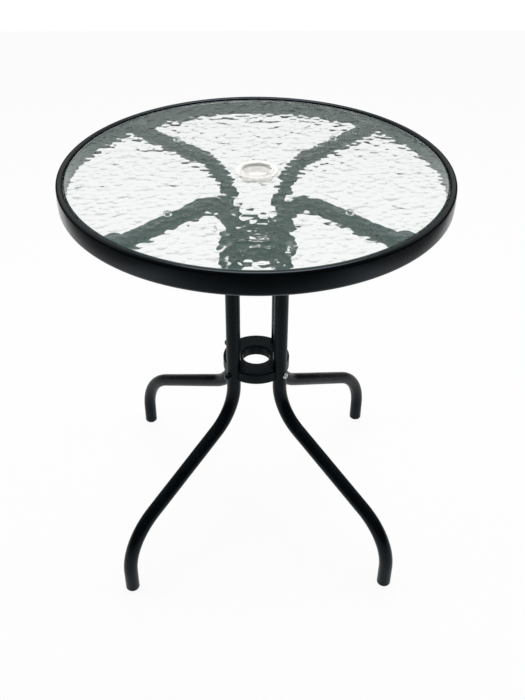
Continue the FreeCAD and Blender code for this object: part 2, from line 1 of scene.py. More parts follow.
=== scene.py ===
import logging
import math
from collections.abc import Callable, Sequence
from dataclasses import dataclass
from enum import Enum

import bmesh
import bpy
from mathutils import Matrix, Vector


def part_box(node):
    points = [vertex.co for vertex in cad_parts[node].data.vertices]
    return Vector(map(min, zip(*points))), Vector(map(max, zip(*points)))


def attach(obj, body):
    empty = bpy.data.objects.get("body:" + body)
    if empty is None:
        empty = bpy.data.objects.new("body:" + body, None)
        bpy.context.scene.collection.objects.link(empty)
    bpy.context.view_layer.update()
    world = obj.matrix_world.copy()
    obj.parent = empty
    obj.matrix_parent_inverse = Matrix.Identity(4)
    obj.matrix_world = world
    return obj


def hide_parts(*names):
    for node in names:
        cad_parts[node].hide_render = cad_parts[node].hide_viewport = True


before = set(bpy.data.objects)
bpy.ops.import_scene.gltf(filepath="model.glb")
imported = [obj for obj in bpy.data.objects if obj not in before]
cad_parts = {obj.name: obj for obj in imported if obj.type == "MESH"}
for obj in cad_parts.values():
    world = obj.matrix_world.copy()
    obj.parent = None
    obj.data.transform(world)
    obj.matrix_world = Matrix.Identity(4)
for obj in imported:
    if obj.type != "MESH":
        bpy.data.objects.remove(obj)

log = logging.getLogger("umbrella_table")

WELD_DISTANCE = 1e-5
SEED_SIZE = 0.001
SMOOTH_ANGLE = math.radians(32)
FULL_TURN = math.tau
HEXAGON_SIDES = 6

Point = tuple[float, float]
Colour = tuple[float, float, float, float]
Piece = bpy.types.Object


class Body(Enum):
    """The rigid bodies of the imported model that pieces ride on."""

    BASE = "base"
    GLASS = "glass"
    RING = "ring"


class Slot(Enum):
    """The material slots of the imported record."""

    RIM_PAINT = "rim_paint"
    LEG_PAINT = "leg_paint"
    TAB_PAINT = "tab_paint"
    PEBBLED_GLASS = "pebbled_glass"
    CLEAR_RING = "clear_ring"
    CLEAR_BUMPER = "clear_bumper"
    HUB_PLASTIC = "hub_plastic"
    GLIDE_PLASTIC = "glide_plastic"
    COVER_PLASTIC = "cover_plastic"
    BRIGHT_STEEL = "bright_steel"


class Corner(Enum):
    """The four legs, each with its direction from the table's axis, in degrees."""

    FRONT_LEFT = ("front_left", 225.0)
    FRONT_RIGHT = ("front_right", 315.0)
    REAR_RIGHT = ("rear_right", 45.0)
    REAR_LEFT = ("rear_left", 135.0)

    @property
    def label(self) -> str:
        """Return the corner's name as the CAD nodes spell it."""
        return self.value[0]

    @property
    def azimuth(self) -> float:
        """Return the direction of the leg in radians."""
        return math.radians(self.value[1])


class Level(Enum):
    """The two hubs, each with its node and the start of its fasteners' names."""

    LOWER = ("hub", "")
    UPPER = ("upper_hub", "upper_")

    @property
    def node(self) -> str:
        """Return the name of the hub's CAD node."""
        return self.value[0]

    @property
    def prefix(self) -> str:
        """Return what tells this hub's fasteners from the other's."""
        return self.value[1]

    @property
    def height(self) -> float:
        """Return the height of the middle of the hub."""
        low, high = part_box(self.node)
        return (low.z + high.z) / 2


BARE_BOLT = (Corner.FRONT_RIGHT, Level.LOWER)


def deselect_all() -> None:
    """Leave no object selected."""
    bpy.ops.object.select_all(action="DESELECT")


def hold(piece: Piece) -> None:
    """Make a piece the only selected and the active object."""
    deselect_all()
    piece.select_set(True)
    bpy.context.view_layer.objects.active = piece


def open_mesh(piece: Piece, kind: str = "VERT") -> None:
    """Open a piece in edit mode with nothing selected.

    Args:
        piece: The piece to shape.
        kind: The select mode: VERT, EDGE or FACE.
    """
    hold(piece)
    bpy.ops.object.mode_set(mode="EDIT")
    bpy.ops.mesh.select_mode(type=kind)
    bpy.ops.mesh.select_all(action="DESELECT")


def close_mesh() -> None:
    """Merge doubles, turn all faces outwards and leave edit mode."""
    bpy.ops.mesh.select_all(action="SELECT")
    bpy.ops.mesh.remove_doubles(threshold=WELD_DISTANCE)
    bpy.ops.mesh.normals_make_consistent(inside=False)
    bpy.ops.object.mode_set(mode="OBJECT")


def pick(piece: Piece, kind: str, wanted: Callable[[Vector], bool]) -> int:
    """Select the vertices, edges or faces of an open mesh by the place of their middle.

    Args:
        piece: The piece that is open in edit mode.
        kind: VERT, EDGE or FACE.
        wanted: Says for a place whether what lies there is selected.

    Returns:
        How many elements were selected.
    """
    bpy.ops.mesh.select_mode(type=kind)
    bpy.ops.mesh.select_all(action="DESELECT")
    mesh = bmesh.from_edit_mesh(piece.data)
    items = {"VERT": mesh.verts, "EDGE": mesh.edges, "FACE": mesh.faces}[kind]
    count = 0
    for item in items:
        if kind == "VERT":
            middle = item.co
        elif kind == "EDGE":
            middle = (item.verts[0].co + item.verts[1].co) / 2
        else:
            middle = item.calc_center_median()
        if wanted(middle):
            item.select_set(True)
            count += 1
    mesh.select_flush_mode()
    bmesh.update_edit_mesh(piece.data)
    return count


def draw_profile(name: str, points: Sequence[Point], closed: bool) -> Piece:
    """Draw a line of points in the XZ plane by extruding a single vertex.

    Args:
        name: The name of the new piece.
        points: Radius and height of each corner.
        closed: Whether the last point is joined to the first.

    Returns:
        The piece, open in edit mode.
    """
    deselect_all()
    radius, height = points[0]
    bpy.ops.mesh.primitive_plane_add(size=SEED_SIZE, location=(radius, 0, height))
    bpy.ops.object.transform_apply(location=True, rotation=True, scale=True)
    piece = bpy.context.object
    piece.name = name
    piece.data.name = name
    bpy.ops.object.mode_set(mode="EDIT")
    bpy.ops.mesh.select_mode(type="VERT")
    bpy.ops.mesh.select_all(action="SELECT")
    bpy.ops.mesh.merge(type="CENTER")
    for (old_radius, old_height), (radius, height) in zip(points, points[1:]):
        step = (radius - old_radius, 0, height - old_height)
        bpy.ops.mesh.extrude_vertices_move(TRANSFORM_OT_translate={"value": step})
    if closed:
        bpy.ops.mesh.select_all(action="SELECT")
        bpy.ops.mesh.edge_face_add()
        bpy.ops.mesh.delete(type="ONLY_FACE")
    return piece


def round_corner(piece: Piece, corner: Point, radius: float, segments: int) -> None:
    """Round one corner of an open profile.

    Args:
        piece: The profile, open in edit mode.
        corner: Radius and height of the corner.
        radius: How far the rounding reaches along each side.
        segments: How many edges the rounding gets.
    """
    spot = Vector((corner[0], 0, corner[1]))
    found = pick(piece, "VERT", lambda place: (place - spot).length < WELD_DISTANCE)
    if found != 1:
        raise ValueError(f"{piece.name} has {found} corners at {corner}")
    bpy.ops.mesh.bevel(affect="VERTICES", offset=radius, segments=segments)


def spin_round(steps: int) -> None:
    """Turn the open profile once about the upright axis and close the mesh.

    Args:
        steps: How many steps the turn takes.
    """
    bpy.ops.mesh.select_all(action="SELECT")
    bpy.ops.mesh.spin(steps=steps, angle=FULL_TURN, center=(0, 0, 0), axis=(0, 0, 1))
    close_mesh()


def apply_modifier(piece: Piece, kind: str, **settings: object) -> None:
    """Add a modifier, set it and apply it.

    Args:
        piece: The piece that it works on.
        kind: The modifier's type.
        settings: Values of the modifier's own properties.
    """
    hold(piece)
    modifier = piece.modifiers.new(kind.lower(), kind)
    for key, value in settings.items():
        setattr(modifier, key, value)
    bpy.ops.object.modifier_apply(modifier=modifier.name)


def combine(piece: Piece, tool: Piece, operation: str) -> None:
    """Cut or trim a piece with another shape and throw that shape away.

    Args:
        piece: The piece that is changed.
        tool: The shape that works on it.
        operation: DIFFERENCE cuts the shape out, INTERSECT keeps what lies inside it.
    """
    apply_modifier(piece, "BOOLEAN", operation=operation, object=tool, solver="EXACT")
    bpy.data.objects.remove(tool, do_unlink=True)


def soften_edges(piece: Piece, width: float, segments: int = 2) -> None:
    """Round off the sharp edges of a finished shape.

    Args:
        piece: The piece to soften.
        width: Width of the rounding.
        segments: How many faces the rounding gets.
    """
    apply_modifier(piece, "BEVEL", width=width, segments=segments, limit_method="ANGLE",
                   angle_limit=SMOOTH_ANGLE, use_clamp_overlap=True)


def smooth(piece: Piece, angle: float = SMOOTH_ANGLE) -> None:
    """Shade a piece smooth up to an angle.

    Args:
        piece: The piece to shade.
        angle: Edges sharper than this stay crisp.
    """
    hold(piece)
    bpy.ops.object.shade_smooth_by_angle(angle=angle)


def settle(piece: Piece) -> None:
    """Put a piece's place and turn into its mesh, with the object at the origin."""
    hold(piece)
    bpy.ops.object.transform_apply(location=True, rotation=True, scale=True)


def add_cylinder(radius: float, depth: float, spot: tuple[float, float, float],
                 sides: int) -> Piece:
    """Add an upright cylinder that another piece is cut or trimmed with.

    Args:
        radius: Its radius.
        depth: Its full height.
        spot: Where its middle lies.
        sides: How many sides it has.

    Returns:
        The cylinder.
    """
    deselect_all()
    bpy.ops.mesh.primitive_cylinder_add(vertices=sides, radius=radius, depth=depth, location=spot)
    cylinder = bpy.context.object
    settle(cylinder)
    return cylinder


def copy_round(piece: Piece, name: str, azimuth: float) -> Piece:
    """Copy a piece that lies along +X and turn the copy about the table's axis.

    Args:
        piece: The model of the piece.
        name: The name of the copy.
        azimuth: Direction of the copy from the axis, in radians.

    Returns:
        The copy, with its own mesh.
    """
    hold(piece)
    bpy.ops.object.duplicate()
    copy = bpy.context.object
    copy.name = name
    copy.data.name = name
    copy.rotation_euler = (0, 0, azimuth)
    settle(copy)
    return copy


def throw_away(piece: Piece) -> None:
    """Remove a model that was only there to be copied."""
    bpy.data.objects.remove(piece, do_unlink=True)


def hand_over(piece: Piece, material: bpy.types.Material, body: Body, slot: Slot,
              *nodes: str) -> Piece:
    """Dress a piece, hang it on the body that it rides on and hide the CAD nodes that it stands for.

    Args:
        piece: The finished piece.
        material: Its material.
        body: The body that it moves with.
        slot: The material slot that it stands for; not used.
        nodes: The CAD nodes that it stands for.

    Returns:
        The same piece.
    """
    piece.data.materials.clear()
    piece.data.materials.append(material)
    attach(piece, body.value)
    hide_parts(*nodes)
    log.info("%s: %d faces on body %s", piece.name, len(piece.data.polygons), body.value)
    return piece


def copy_to_corners(model: Piece, name: str, material: bpy.types.Material, slot: Slot,
                    node: str) -> None:
    """Copy a piece of the base to all four corners and throw the model away.

    Args:
        model: The piece, lying along +X.
        name: What the copies' names end with.
        material: Their material.
        slot: The material slot that they stand for, passed on unused.
        node: What the names of their CAD nodes end with.
    """
    for corner in Corner:
        copy = copy_round(model, f"{corner.label}_{name}", corner.azimuth)
        hand_over(copy, material, Body.BASE, slot, f"{corner.label}_{node}")
    throw_away(model)


class Board:
    """Adds and joins the nodes of one tree."""

    def __init__(self, tree: bpy.types.NodeTree) -> None:
        """Keep the tree that the nodes go into."""
        self.tree = tree

    def add(self, kind: str, **settings: object) -> bpy.types.Node:
        """Add a node.

        Args:
            kind: The node's type name without the leading ShaderNode.
            settings: Values of the node's own properties.

        Returns:
            The new node.
        """
        node = self.tree.nodes.new(kind if kind.startswith("Node") else f"ShaderNode{kind}")
        for key, value in settings.items():
            setattr(node, key, value)
        return node

    def join(self, source: bpy.types.NodeSocket, target: bpy.types.NodeSocket) -> None:
        """Join an output to an input."""
        self.tree.links.new(source, target)

    def maths(self, operation: str, first: object, second: object) -> bpy.types.NodeSocket:
        """Add a Math node over two sockets or numbers.

        Args:
            operation: The node's operation, such as MULTIPLY.
            first: A socket or a number.
            second: A socket or a number.

        Returns:
            The node's output.
        """
        node = self.add("Math", operation=operation)
        for number, value in enumerate((first, second)):
            self.feed(value, node.inputs[number])
        return node.outputs[0]

    def feed(self, value: object, target: bpy.types.NodeSocket) -> None:
        """Join a socket to an input, or write a number or colour into it."""
        if isinstance(value, bpy.types.NodeSocket):
            self.join(value, target)
        else:
            target.default_value = value

    def map_range(self, value: object, low: float, high: float, to_low: float,
                  to_high: float) -> bpy.types.NodeSocket:
        """Map a value smoothly from one range to another.

        Args:
            value: The socket or number to map.
            low: Where the first range starts.
            high: Where the first range ends.
            to_low: What the start becomes.
            to_high: What the end becomes.

        Returns:
            The mapped value.
        """
        node = self.add("MapRange", interpolation_type="SMOOTHSTEP")
        for number, item in enumerate((value, low, high, to_low, to_high)):
            self.feed(item, node.inputs[number])
        return node.outputs[0]

    def flat_distance(self, first: bpy.types.NodeSocket,
                      second: bpy.types.NodeSocket) -> bpy.types.NodeSocket:
        """Measure how far apart two points are, whatever their heights.

        Args:
            first: The coordinates of a point.
            second: The coordinates of the other point.

        Returns:
            The distance.
        """
        gap = self.add("VectorMath", operation="SUBTRACT")
        self.join(first, gap.inputs[0])
        self.join(second, gap.inputs[1])
        level = self.add("VectorMath", operation="MULTIPLY")
        self.join(gap.outputs["Vector"], level.inputs[0])
        level.inputs[1].default_value = (1, 1, 0)
        length = self.add("VectorMath", operation="LENGTH")
        self.join(level.outputs["Vector"], length.inputs[0])
        return length.outputs["Value"]

    def mix_colour(self, factor: object, first: object, second: object) -> bpy.types.NodeSocket:
        """Mix two colours.

        Args:
            factor: How much of the second colour shows.
            first: A colour or a socket.
            second: A colour or a socket.

        Returns:
            The mixed colour.
        """
        node = self.add("Mix", data_type="RGBA")
        self.feed(factor, node.inputs[0])
        self.feed(first, node.inputs[6])
        self.feed(second, node.inputs[7])
        return node.outputs[2]

    def blend_shaders(self, factor: bpy.types.NodeSocket, first: bpy.types.NodeSocket,
                      second: bpy.types.NodeSocket) -> bpy.types.NodeSocket:
        """Mix two shaders.

        Args:
            factor: How much of the second shader shows.
            first: A shader's output.
            second: A shader's output.

        Returns:
            The mixed shader.
        """
        mix = self.add("MixShader")
        for number, source in enumerate((factor, first, second)):
            self.join(source, mix.inputs[number])
        return mix.outputs["Shader"]

    def emboss(self, shader: bpy.types.Node, height: bpy.types.NodeSocket, relief: float) -> None:
        """Let a height bend the normal of a shader.

        Args:
            shader: The shader node.
            height: The height that it follows.
            relief: How deep the height is, in metres.
        """
        bump = self.add("Bump")
        bump.inputs["Distance"].default_value = relief
        self.join(height, bump.inputs["Height"])
        self.join(bump.outputs["Normal"], shader.inputs["Normal"])

    def noise(self, place: bpy.types.NodeSocket, scale: object, detail: float,
              roughness: float = 0.5) -> bpy.types.NodeSocket:
        """Add a noise texture and return its value.

        Args:
            place: The coordinates that it reads.
            scale: Its scale, a number or a socket.
            detail: How many finer layers it has.
            roughness: How strong the finer layers are.

        Returns:
            The noise value, about 0.5 on average.
        """
        node = self.add("TexNoise")
        self.join(place, node.inputs["Vector"])
        self.feed(scale, node.inputs["Scale"])
        node.inputs["Detail"].default_value = detail
        node.inputs["Roughness"].default_value = roughness
        return node.outputs[0]


class Effects:
    """Node groups that several materials share."""

    def __init__(self) -> None:
        """Build each group once."""
        self.unevenness = self.make_unevenness()
        self.dust = self.make_dust()
        self.wear = self.make_wear()

    @staticmethod
    def start(name: str, inputs: dict[str, float], outputs: Sequence[str]
              ) -> tuple[Board, object, object, bpy.types.NodeSocket]:
        """Start a node group with named number sockets.

        Args:
            name: The group's name.
            inputs: Each input and its default value.
            outputs: The names of the outputs.

        Returns:
            A board over the group's tree, the sockets that feed the inside, those that lead
            outside, and the object coordinates.
        """
        group = bpy.data.node_groups.new(name, "ShaderNodeTree")
        for label, value in inputs.items():
            socket = group.interface.new_socket(label, in_out="INPUT", socket_type="NodeSocketFloat")
            socket.default_value = value
        for label in outputs:
            group.interface.new_socket(label, in_out="OUTPUT", socket_type="NodeSocketFloat")
        board = Board(group)
        inside = board.add("NodeGroupInput").outputs
        outside = board.add("NodeGroupOutput").inputs
        return board, inside, outside, board.add("TexCoord").outputs["Object"]

    @classmethod
    def make_unevenness(cls) -> bpy.types.NodeTree:
        """Make the slow waves and fine grain of a painted or moulded surface."""
        board, inside, outside, place = cls.start(
            "surface_unevenness", {"Wave Scale": 120.0, "Grain Scale": 1500.0,
                                   "Grain Share": 0.3}, ("Height", "Patches"))
        waves = board.noise(place, inside["Wave Scale"], 2.0)
        grain = board.noise(place, inside["Grain Scale"], 2.0)
        rest = board.maths("SUBTRACT", 1.0, inside["Grain Share"])
        height = board.maths("ADD", board.maths("MULTIPLY", waves, rest),
                             board.maths("MULTIPLY", grain, inside["Grain Share"]))
        board.join(height, outside["Height"])
        patches = board.noise(place, board.maths("MULTIPLY", inside["Wave Scale"], 0.12), 4.0)
        board.join(board.map_range(patches, 0.35, 0.65, 0.0, 1.0), outside["Patches"])
        return board.tree

    @classmethod
    def make_dust(cls) -> bpy.types.NodeTree:
        """Make a mask of thin dust that settles on what faces up."""
        board, inside, outside, place = cls.start("settled_dust", {"Amount": 0.3}, ("Mask",))
        normal = board.add("SeparateXYZ")
        board.join(board.add("NewGeometry").outputs["Normal"], normal.inputs[0])
        upward = board.map_range(normal.outputs["Z"], 0.2, 1.0, 0.0, 1.0)
        drifts = board.map_range(board.noise(place, 35.0, 5.0, 0.65), 0.4, 0.75, 0.15, 1.0)
        specks = board.map_range(board.noise(place, 1100.0, 1.0), 0.66, 0.74, 0.0, 1.0)
        film = board.maths("MULTIPLY", drifts, board.maths("ADD", 0.35, specks))
        mask = board.maths("MULTIPLY", board.maths("MULTIPLY", film, upward), inside["Amount"])
        board.join(mask, outside["Mask"])
        return board.tree

    @classmethod
    def make_wear(cls) -> bpy.types.NodeTree:
        """Make a mask of light rubbing on outward edges."""
        board, inside, outside, place = cls.start("edge_rub", {"Amount": 0.3}, ("Mask",))
        edges = board.map_range(board.add("NewGeometry").outputs["Pointiness"], 0.52, 0.6, 0.0, 1.0)
        breaks = board.map_range(board.noise(place, 260.0, 4.0, 0.7), 0.45, 0.7, 0.0, 1.0)
        mask = board.maths("MULTIPLY", board.maths("MULTIPLY", edges, breaks), inside["Amount"])
        board.join(mask, outside["Mask"])
        return board.tree


def start_material(name: str) -> tuple[bpy.types.Material, Board, bpy.types.Node]:
    """Start a material with an empty tree and a Principled shader.

    Args:
        name: The material's name.

    Returns:
        The material, a board over its tree, and the shader node.
    """
    material = bpy.data.materials.new(name)
    material.use_nodes = True
    material.node_tree.nodes.clear()
    board = Board(material.node_tree)
    shader = board.add("BsdfPrincipled")
    return material, board, shader


def finish_material(board: Board, shader: bpy.types.NodeSocket) -> None:
    """Join a shader to a new output node."""
    board.join(shader, board.add("OutputMaterial").inputs["Surface"])


def add_group(board: Board, group: bpy.types.NodeTree, **values: float) -> bpy.types.Node:
    """Place a shared effect in a material with its own values.

    Args:
        board: The material's board.
        group: The node group.
        values: Input values, with underscores for the spaces in their names.

    Returns:
        The group node.
    """
    node = board.add("Group", node_tree=group)
    for label, value in values.items():
        node.inputs[label.replace("_", " ").title()].default_value = value
    return node


@dataclass(frozen=True)
class OpaqueFinish:
    """A painted or moulded surface: slow waves, fine grain, dust and rubbed edges."""

    name: str
    colour: Colour
    roughness: float
    patch_roughness: float
    wave_scale: float
    grain_scale: float
    grain_share: float
    relief: float
    dust: float
    rub: float
    specular: float = 0.3
    coat: float = 0.0
    coat_roughness: float = 0.1
    gleam: Colour = (0.62, 0.84, 1.0, 1.0)
    dust_colour: Colour = (0.16, 0.155, 0.145, 1.0)
    rub_colour: Colour = (0.06, 0.06, 0.062, 1.0)
    dust_dulling: float = 0.5

    def make(self, effects: Effects) -> bpy.types.Material:
        """Build the material.

        Args:
            effects: The shared node groups.

        Returns:
            The material.
        """
        material, board, shader = start_material(self.name)
        surface = add_group(board, effects.unevenness, wave_scale=self.wave_scale,
                            grain_scale=self.grain_scale, grain_share=self.grain_share)
        dust = add_group(board, effects.dust, amount=self.dust).outputs["Mask"]
        rub = add_group(board, effects.wear, amount=self.rub).outputs["Mask"]
        rubbed = board.mix_colour(rub, self.colour, self.rub_colour)
        board.join(board.mix_colour(dust, rubbed, self.dust_colour), shader.inputs["Base Color"])
        patches = board.map_range(surface.outputs["Patches"], 0.0, 1.0,
                                  self.roughness, self.patch_roughness)
        dulled = board.maths("ADD", patches, board.maths("MULTIPLY", dust, self.dust_dulling))
        board.join(dulled, shader.inputs["Roughness"])
        board.emboss(shader, surface.outputs["Height"], self.relief)
        shader.inputs["Specular IOR Level"].default_value = self.specular
        shader.inputs["Specular Tint"].default_value = self.gleam
        shader.inputs["Coat Weight"].default_value = self.coat
        shader.inputs["Coat Roughness"].default_value = self.coat_roughness
        finish_material(board, shader.outputs["BSDF"])
        return material


@dataclass(frozen=True)
class SteelFinish:
    """Zinc-plated steel, bright or dull, with fine turning marks."""

    name: str
    colour: Colour
    roughness: float
    mark_scale: float
    relief: float
    grain_ratio: float = 6.0
    grain_share: float = 0.4
    patch_shade: float = 0.72
    patch_dulling: float = 0.14

    def make(self, effects: Effects) -> bpy.types.Material:
        """Build the material.

        Args:
            effects: The shared node groups.

        Returns:
            The material.
        """
        material, board, shader = start_material(self.name)
        surface = add_group(board, effects.unevenness, wave_scale=self.mark_scale,
                            grain_scale=self.mark_scale * self.grain_ratio,
                            grain_share=self.grain_share)
        duller = tuple(part * self.patch_shade for part in self.colour[:3]) + (1.0,)
        tint = board.mix_colour(surface.outputs["Patches"], self.colour, duller)
        board.join(tint, shader.inputs["Base Color"])
        rough = board.map_range(surface.outputs["Patches"], 0.0, 1.0, self.roughness,
                                self.roughness + self.patch_dulling)
        board.join(rough, shader.inputs["Roughness"])
        board.emboss(shader, surface.outputs["Height"], self.relief)
        shader.inputs["Metallic"].default_value = 1.0
        finish_material(board, shader.outputs["BSDF"])
        return material


@dataclass(frozen=True)
class ClearFinish:
    """Glass or clear plastic, which lets the light of lamps through."""

    name: str
    tint: Colour
    shade: Colour
    roughness: float
    ior: float
    ripple_scale: float
    ripple_relief: float
    shade_scale: float
    shadow: Colour
    gleam: Colour = (1.0, 1.0, 1.0, 1.0)
    # Painted shade of the gap between the glass and the rim, as a dark band at the glass's edge:
    seat_radius: float = 1.0
    gap_shade_shift: float = 0.0014
    seat_roughness: float = 0.6
    gap_shade_blend: float = 0.0006
    seat_colour: Colour = (0.01, 0.025, 0.02, 1.0)
    transmission: float = 1.0
    # Painted shade on the near flanks of the pebbles, standing in for the shading that refraction
    # gives them:
    flank_shade_top: float = 0.0
    flank_shade_scale: float = 82.0
    flank_shade_step: float = 0.0014
    flank_shade_depths: tuple[float, float] = (0.02, 0.11)
    flank_shade_colour: Colour = (0.4, 0.43, 0.415, 1.0)
    flank_shade_patches: float = 0.4
    grain_ratio: float = 4.0
    grain_share: float = 0.15

    def make(self, effects: Effects) -> bpy.types.Material:
        """Build the material.

        Args:
            effects: The shared node groups.

        Returns:
            The material.
        """
        material, board, shader = start_material(self.name)
        surface = add_group(board, effects.unevenness, wave_scale=self.ripple_scale,
                            grain_scale=self.ripple_scale * self.grain_ratio,
                            grain_share=self.grain_share)
        place = board.add("TexCoord").outputs["Object"]
        streaks = board.map_range(board.noise(place, self.shade_scale, 3.0), 0.45, 0.7, 0.0, 1.0)
        body = board.mix_colour(streaks, self.tint, self.shade)
        # Painted shade darkens the near flanks of the pebbles.
        flank_shaded = board.mix_colour(self.find_flank_shade(board, place), body, self.flank_shade_colour)
        # Painted shade: a dark band at the glass's edge stands in for the shaded gap to the rim.
        seat = board.map_range(self.find_reach(board, place), self.seat_radius,
                               self.seat_radius + self.gap_shade_blend, 0.0, 1.0)
        board.join(board.mix_colour(seat, flank_shaded, self.seat_colour), shader.inputs["Base Color"])
        board.join(board.map_range(seat, 0.0, 1.0, self.roughness, self.seat_roughness),
                   shader.inputs["Roughness"])
        board.emboss(shader, surface.outputs["Height"], self.ripple_relief)
        shader.inputs["IOR"].default_value = self.ior
        shader.inputs["Specular Tint"].default_value = self.gleam
        shader.inputs["Transmission Weight"].default_value = self.transmission
        clear = board.add("BsdfTransparent")
        clear.inputs["Color"].default_value = self.shadow
        shadow_ray = board.add("LightPath").outputs["Is Shadow Ray"]
        finish_material(board, board.blend_shaders(shadow_ray, shader.outputs["BSDF"],
                                                   clear.outputs["BSDF"]))
        return material

    def find_reach(self, board: Board, place: bpy.types.NodeSocket) -> bpy.types.NodeSocket:
        """Work out how far a point lies from the middle of the painted dark band at the glass's edge;
        that middle sits a little towards the back, so the band is wider at the front.
        """
        middle = board.add("CombineXYZ")
        middle.inputs["Y"].default_value = self.gap_shade_shift
        return board.flat_distance(place, middle.outputs[0])

    def find_flank_shade(self, board: Board, place: bpy.types.NodeSocket) -> bpy.types.NodeSocket:
        """Mask the near flanks of the pebbles on the underside, where painted shade stands in for the
        shading that refraction gives them.
        """
        step = board.add("VectorMath", operation="ADD")
        board.join(place, step.inputs[0])
        step.inputs[1].default_value = (0, self.flank_shade_step, 0)
        heights = []
        for spot in (place, step.outputs["Vector"]):
            cells = board.add("TexVoronoi", voronoi_dimensions="2D")
            board.join(spot, cells.inputs["Vector"])
            cells.inputs["Scale"].default_value = self.flank_shade_scale
            reach = cells.outputs["Distance"]
            heights.append(board.maths("MULTIPLY", reach, reach))
        flank = board.map_range(board.maths("SUBTRACT", *heights), *self.flank_shade_depths, 0.0, 1.0)
        parts = board.add("SeparateXYZ")
        board.join(place, parts.inputs[0])
        under = board.maths("LESS_THAN", parts.outputs["Z"], self.flank_shade_top)
        varied = board.map_range(board.noise(place, self.flank_shade_scale * self.flank_shade_patches, 2.0),
                                 0.35, 0.65, 0.3, 1.0)
        return board.maths("MULTIPLY", board.maths("MULTIPLY", flank, varied), under)


class Finishes:
    """Every material of the table."""

    RIM = OpaqueFinish("rim_paint", (0.0016, 0.0024, 0.003, 1), 0.2, 0.28, 90.0, 1600.0, 0.12,
                       0.00003, 0.02, 0.2, coat=0.2, coat_roughness=0.08)
    LEG = OpaqueFinish("leg_paint", (0.0016, 0.0026, 0.0033, 1), 0.26, 0.36, 140.0, 1800.0, 0.25,
                       0.00003, 0.02, 0.2, specular=0.15)
    TAB = OpaqueFinish("tab_paint", (0.002, 0.0028, 0.0034, 1), 0.28, 0.4, 160.0, 1800.0, 0.3,
                       0.00005, 0.03, 0.3)
    HUB = OpaqueFinish("hub_plastic", (0.0016, 0.0024, 0.003, 1), 0.34, 0.42, 300.0, 3200.0, 0.6,
                       0.00005, 0.02, 0.2, specular=0.13)
    GLIDE = OpaqueFinish("glide_plastic", (0.0025, 0.0033, 0.0042, 1), 0.44, 0.55, 300.0, 3000.0,
                         0.6, 0.00005, 0.03, 0.3)
    COVER = OpaqueFinish("cover_plastic", (0.0012, 0.0015, 0.0018, 1), 0.18, 0.26, 300.0, 2600.0,
                         0.3, 0.00003, 0.02, 0.2)
    STEEL = SteelFinish("bright_steel", (0.78, 0.79, 0.82, 1), 0.2, 500.0, 0.00003)
    SCREW = SteelFinish("dull_steel", (0.1, 0.1, 0.11, 1), 0.4, 500.0, 0.00003)
    # The glass's material paints shade on the near flanks of its pebbles and a dark band of shade at
    # its edge.
    GLASS = ClearFinish("pebbled_glass", (0.955, 0.985, 0.97, 1), (0.92, 0.96, 0.94, 1), 0.0, 1.5,
                        330.0, 0.00002, 160.0, (0.95, 0.97, 0.96, 1), (0.38, 1.0, 0.78, 1),
                        0.2868, flank_shade_top=0.6945)
    RING = ClearFinish("clear_ring", (0.99, 0.98, 0.96, 1), (0.94, 0.92, 0.89, 1), 0.04, 1.2,
                       240.0, 0.00004, 120.0, (0.97, 0.97, 0.96, 1), transmission=0.62)
    BUMPER = ClearFinish("clear_bumper", (0.95, 0.965, 0.96, 1), (0.88, 0.9, 0.89, 1), 0.08, 1.42,
                         400.0, 0.00004, 300.0, (0.95, 0.95, 0.95, 1))

    def __init__(self, effects: Effects) -> None:
        """Build each material once."""
        self.rim = self.RIM.make(effects)
        self.leg = self.LEG.make(effects)
        self.tab = self.TAB.make(effects)
        self.hub = self.HUB.make(effects)
        self.glide = self.GLIDE.make(effects)
        self.cover = self.COVER.make(effects)
        self.steel = self.STEEL.make(effects)
        self.screw = self.SCREW.make(effects)
        self.glass = self.GLASS.make(effects)
        self.ring = self.RING.make(effects)
        self.bumper = self.BUMPER.make(effects)


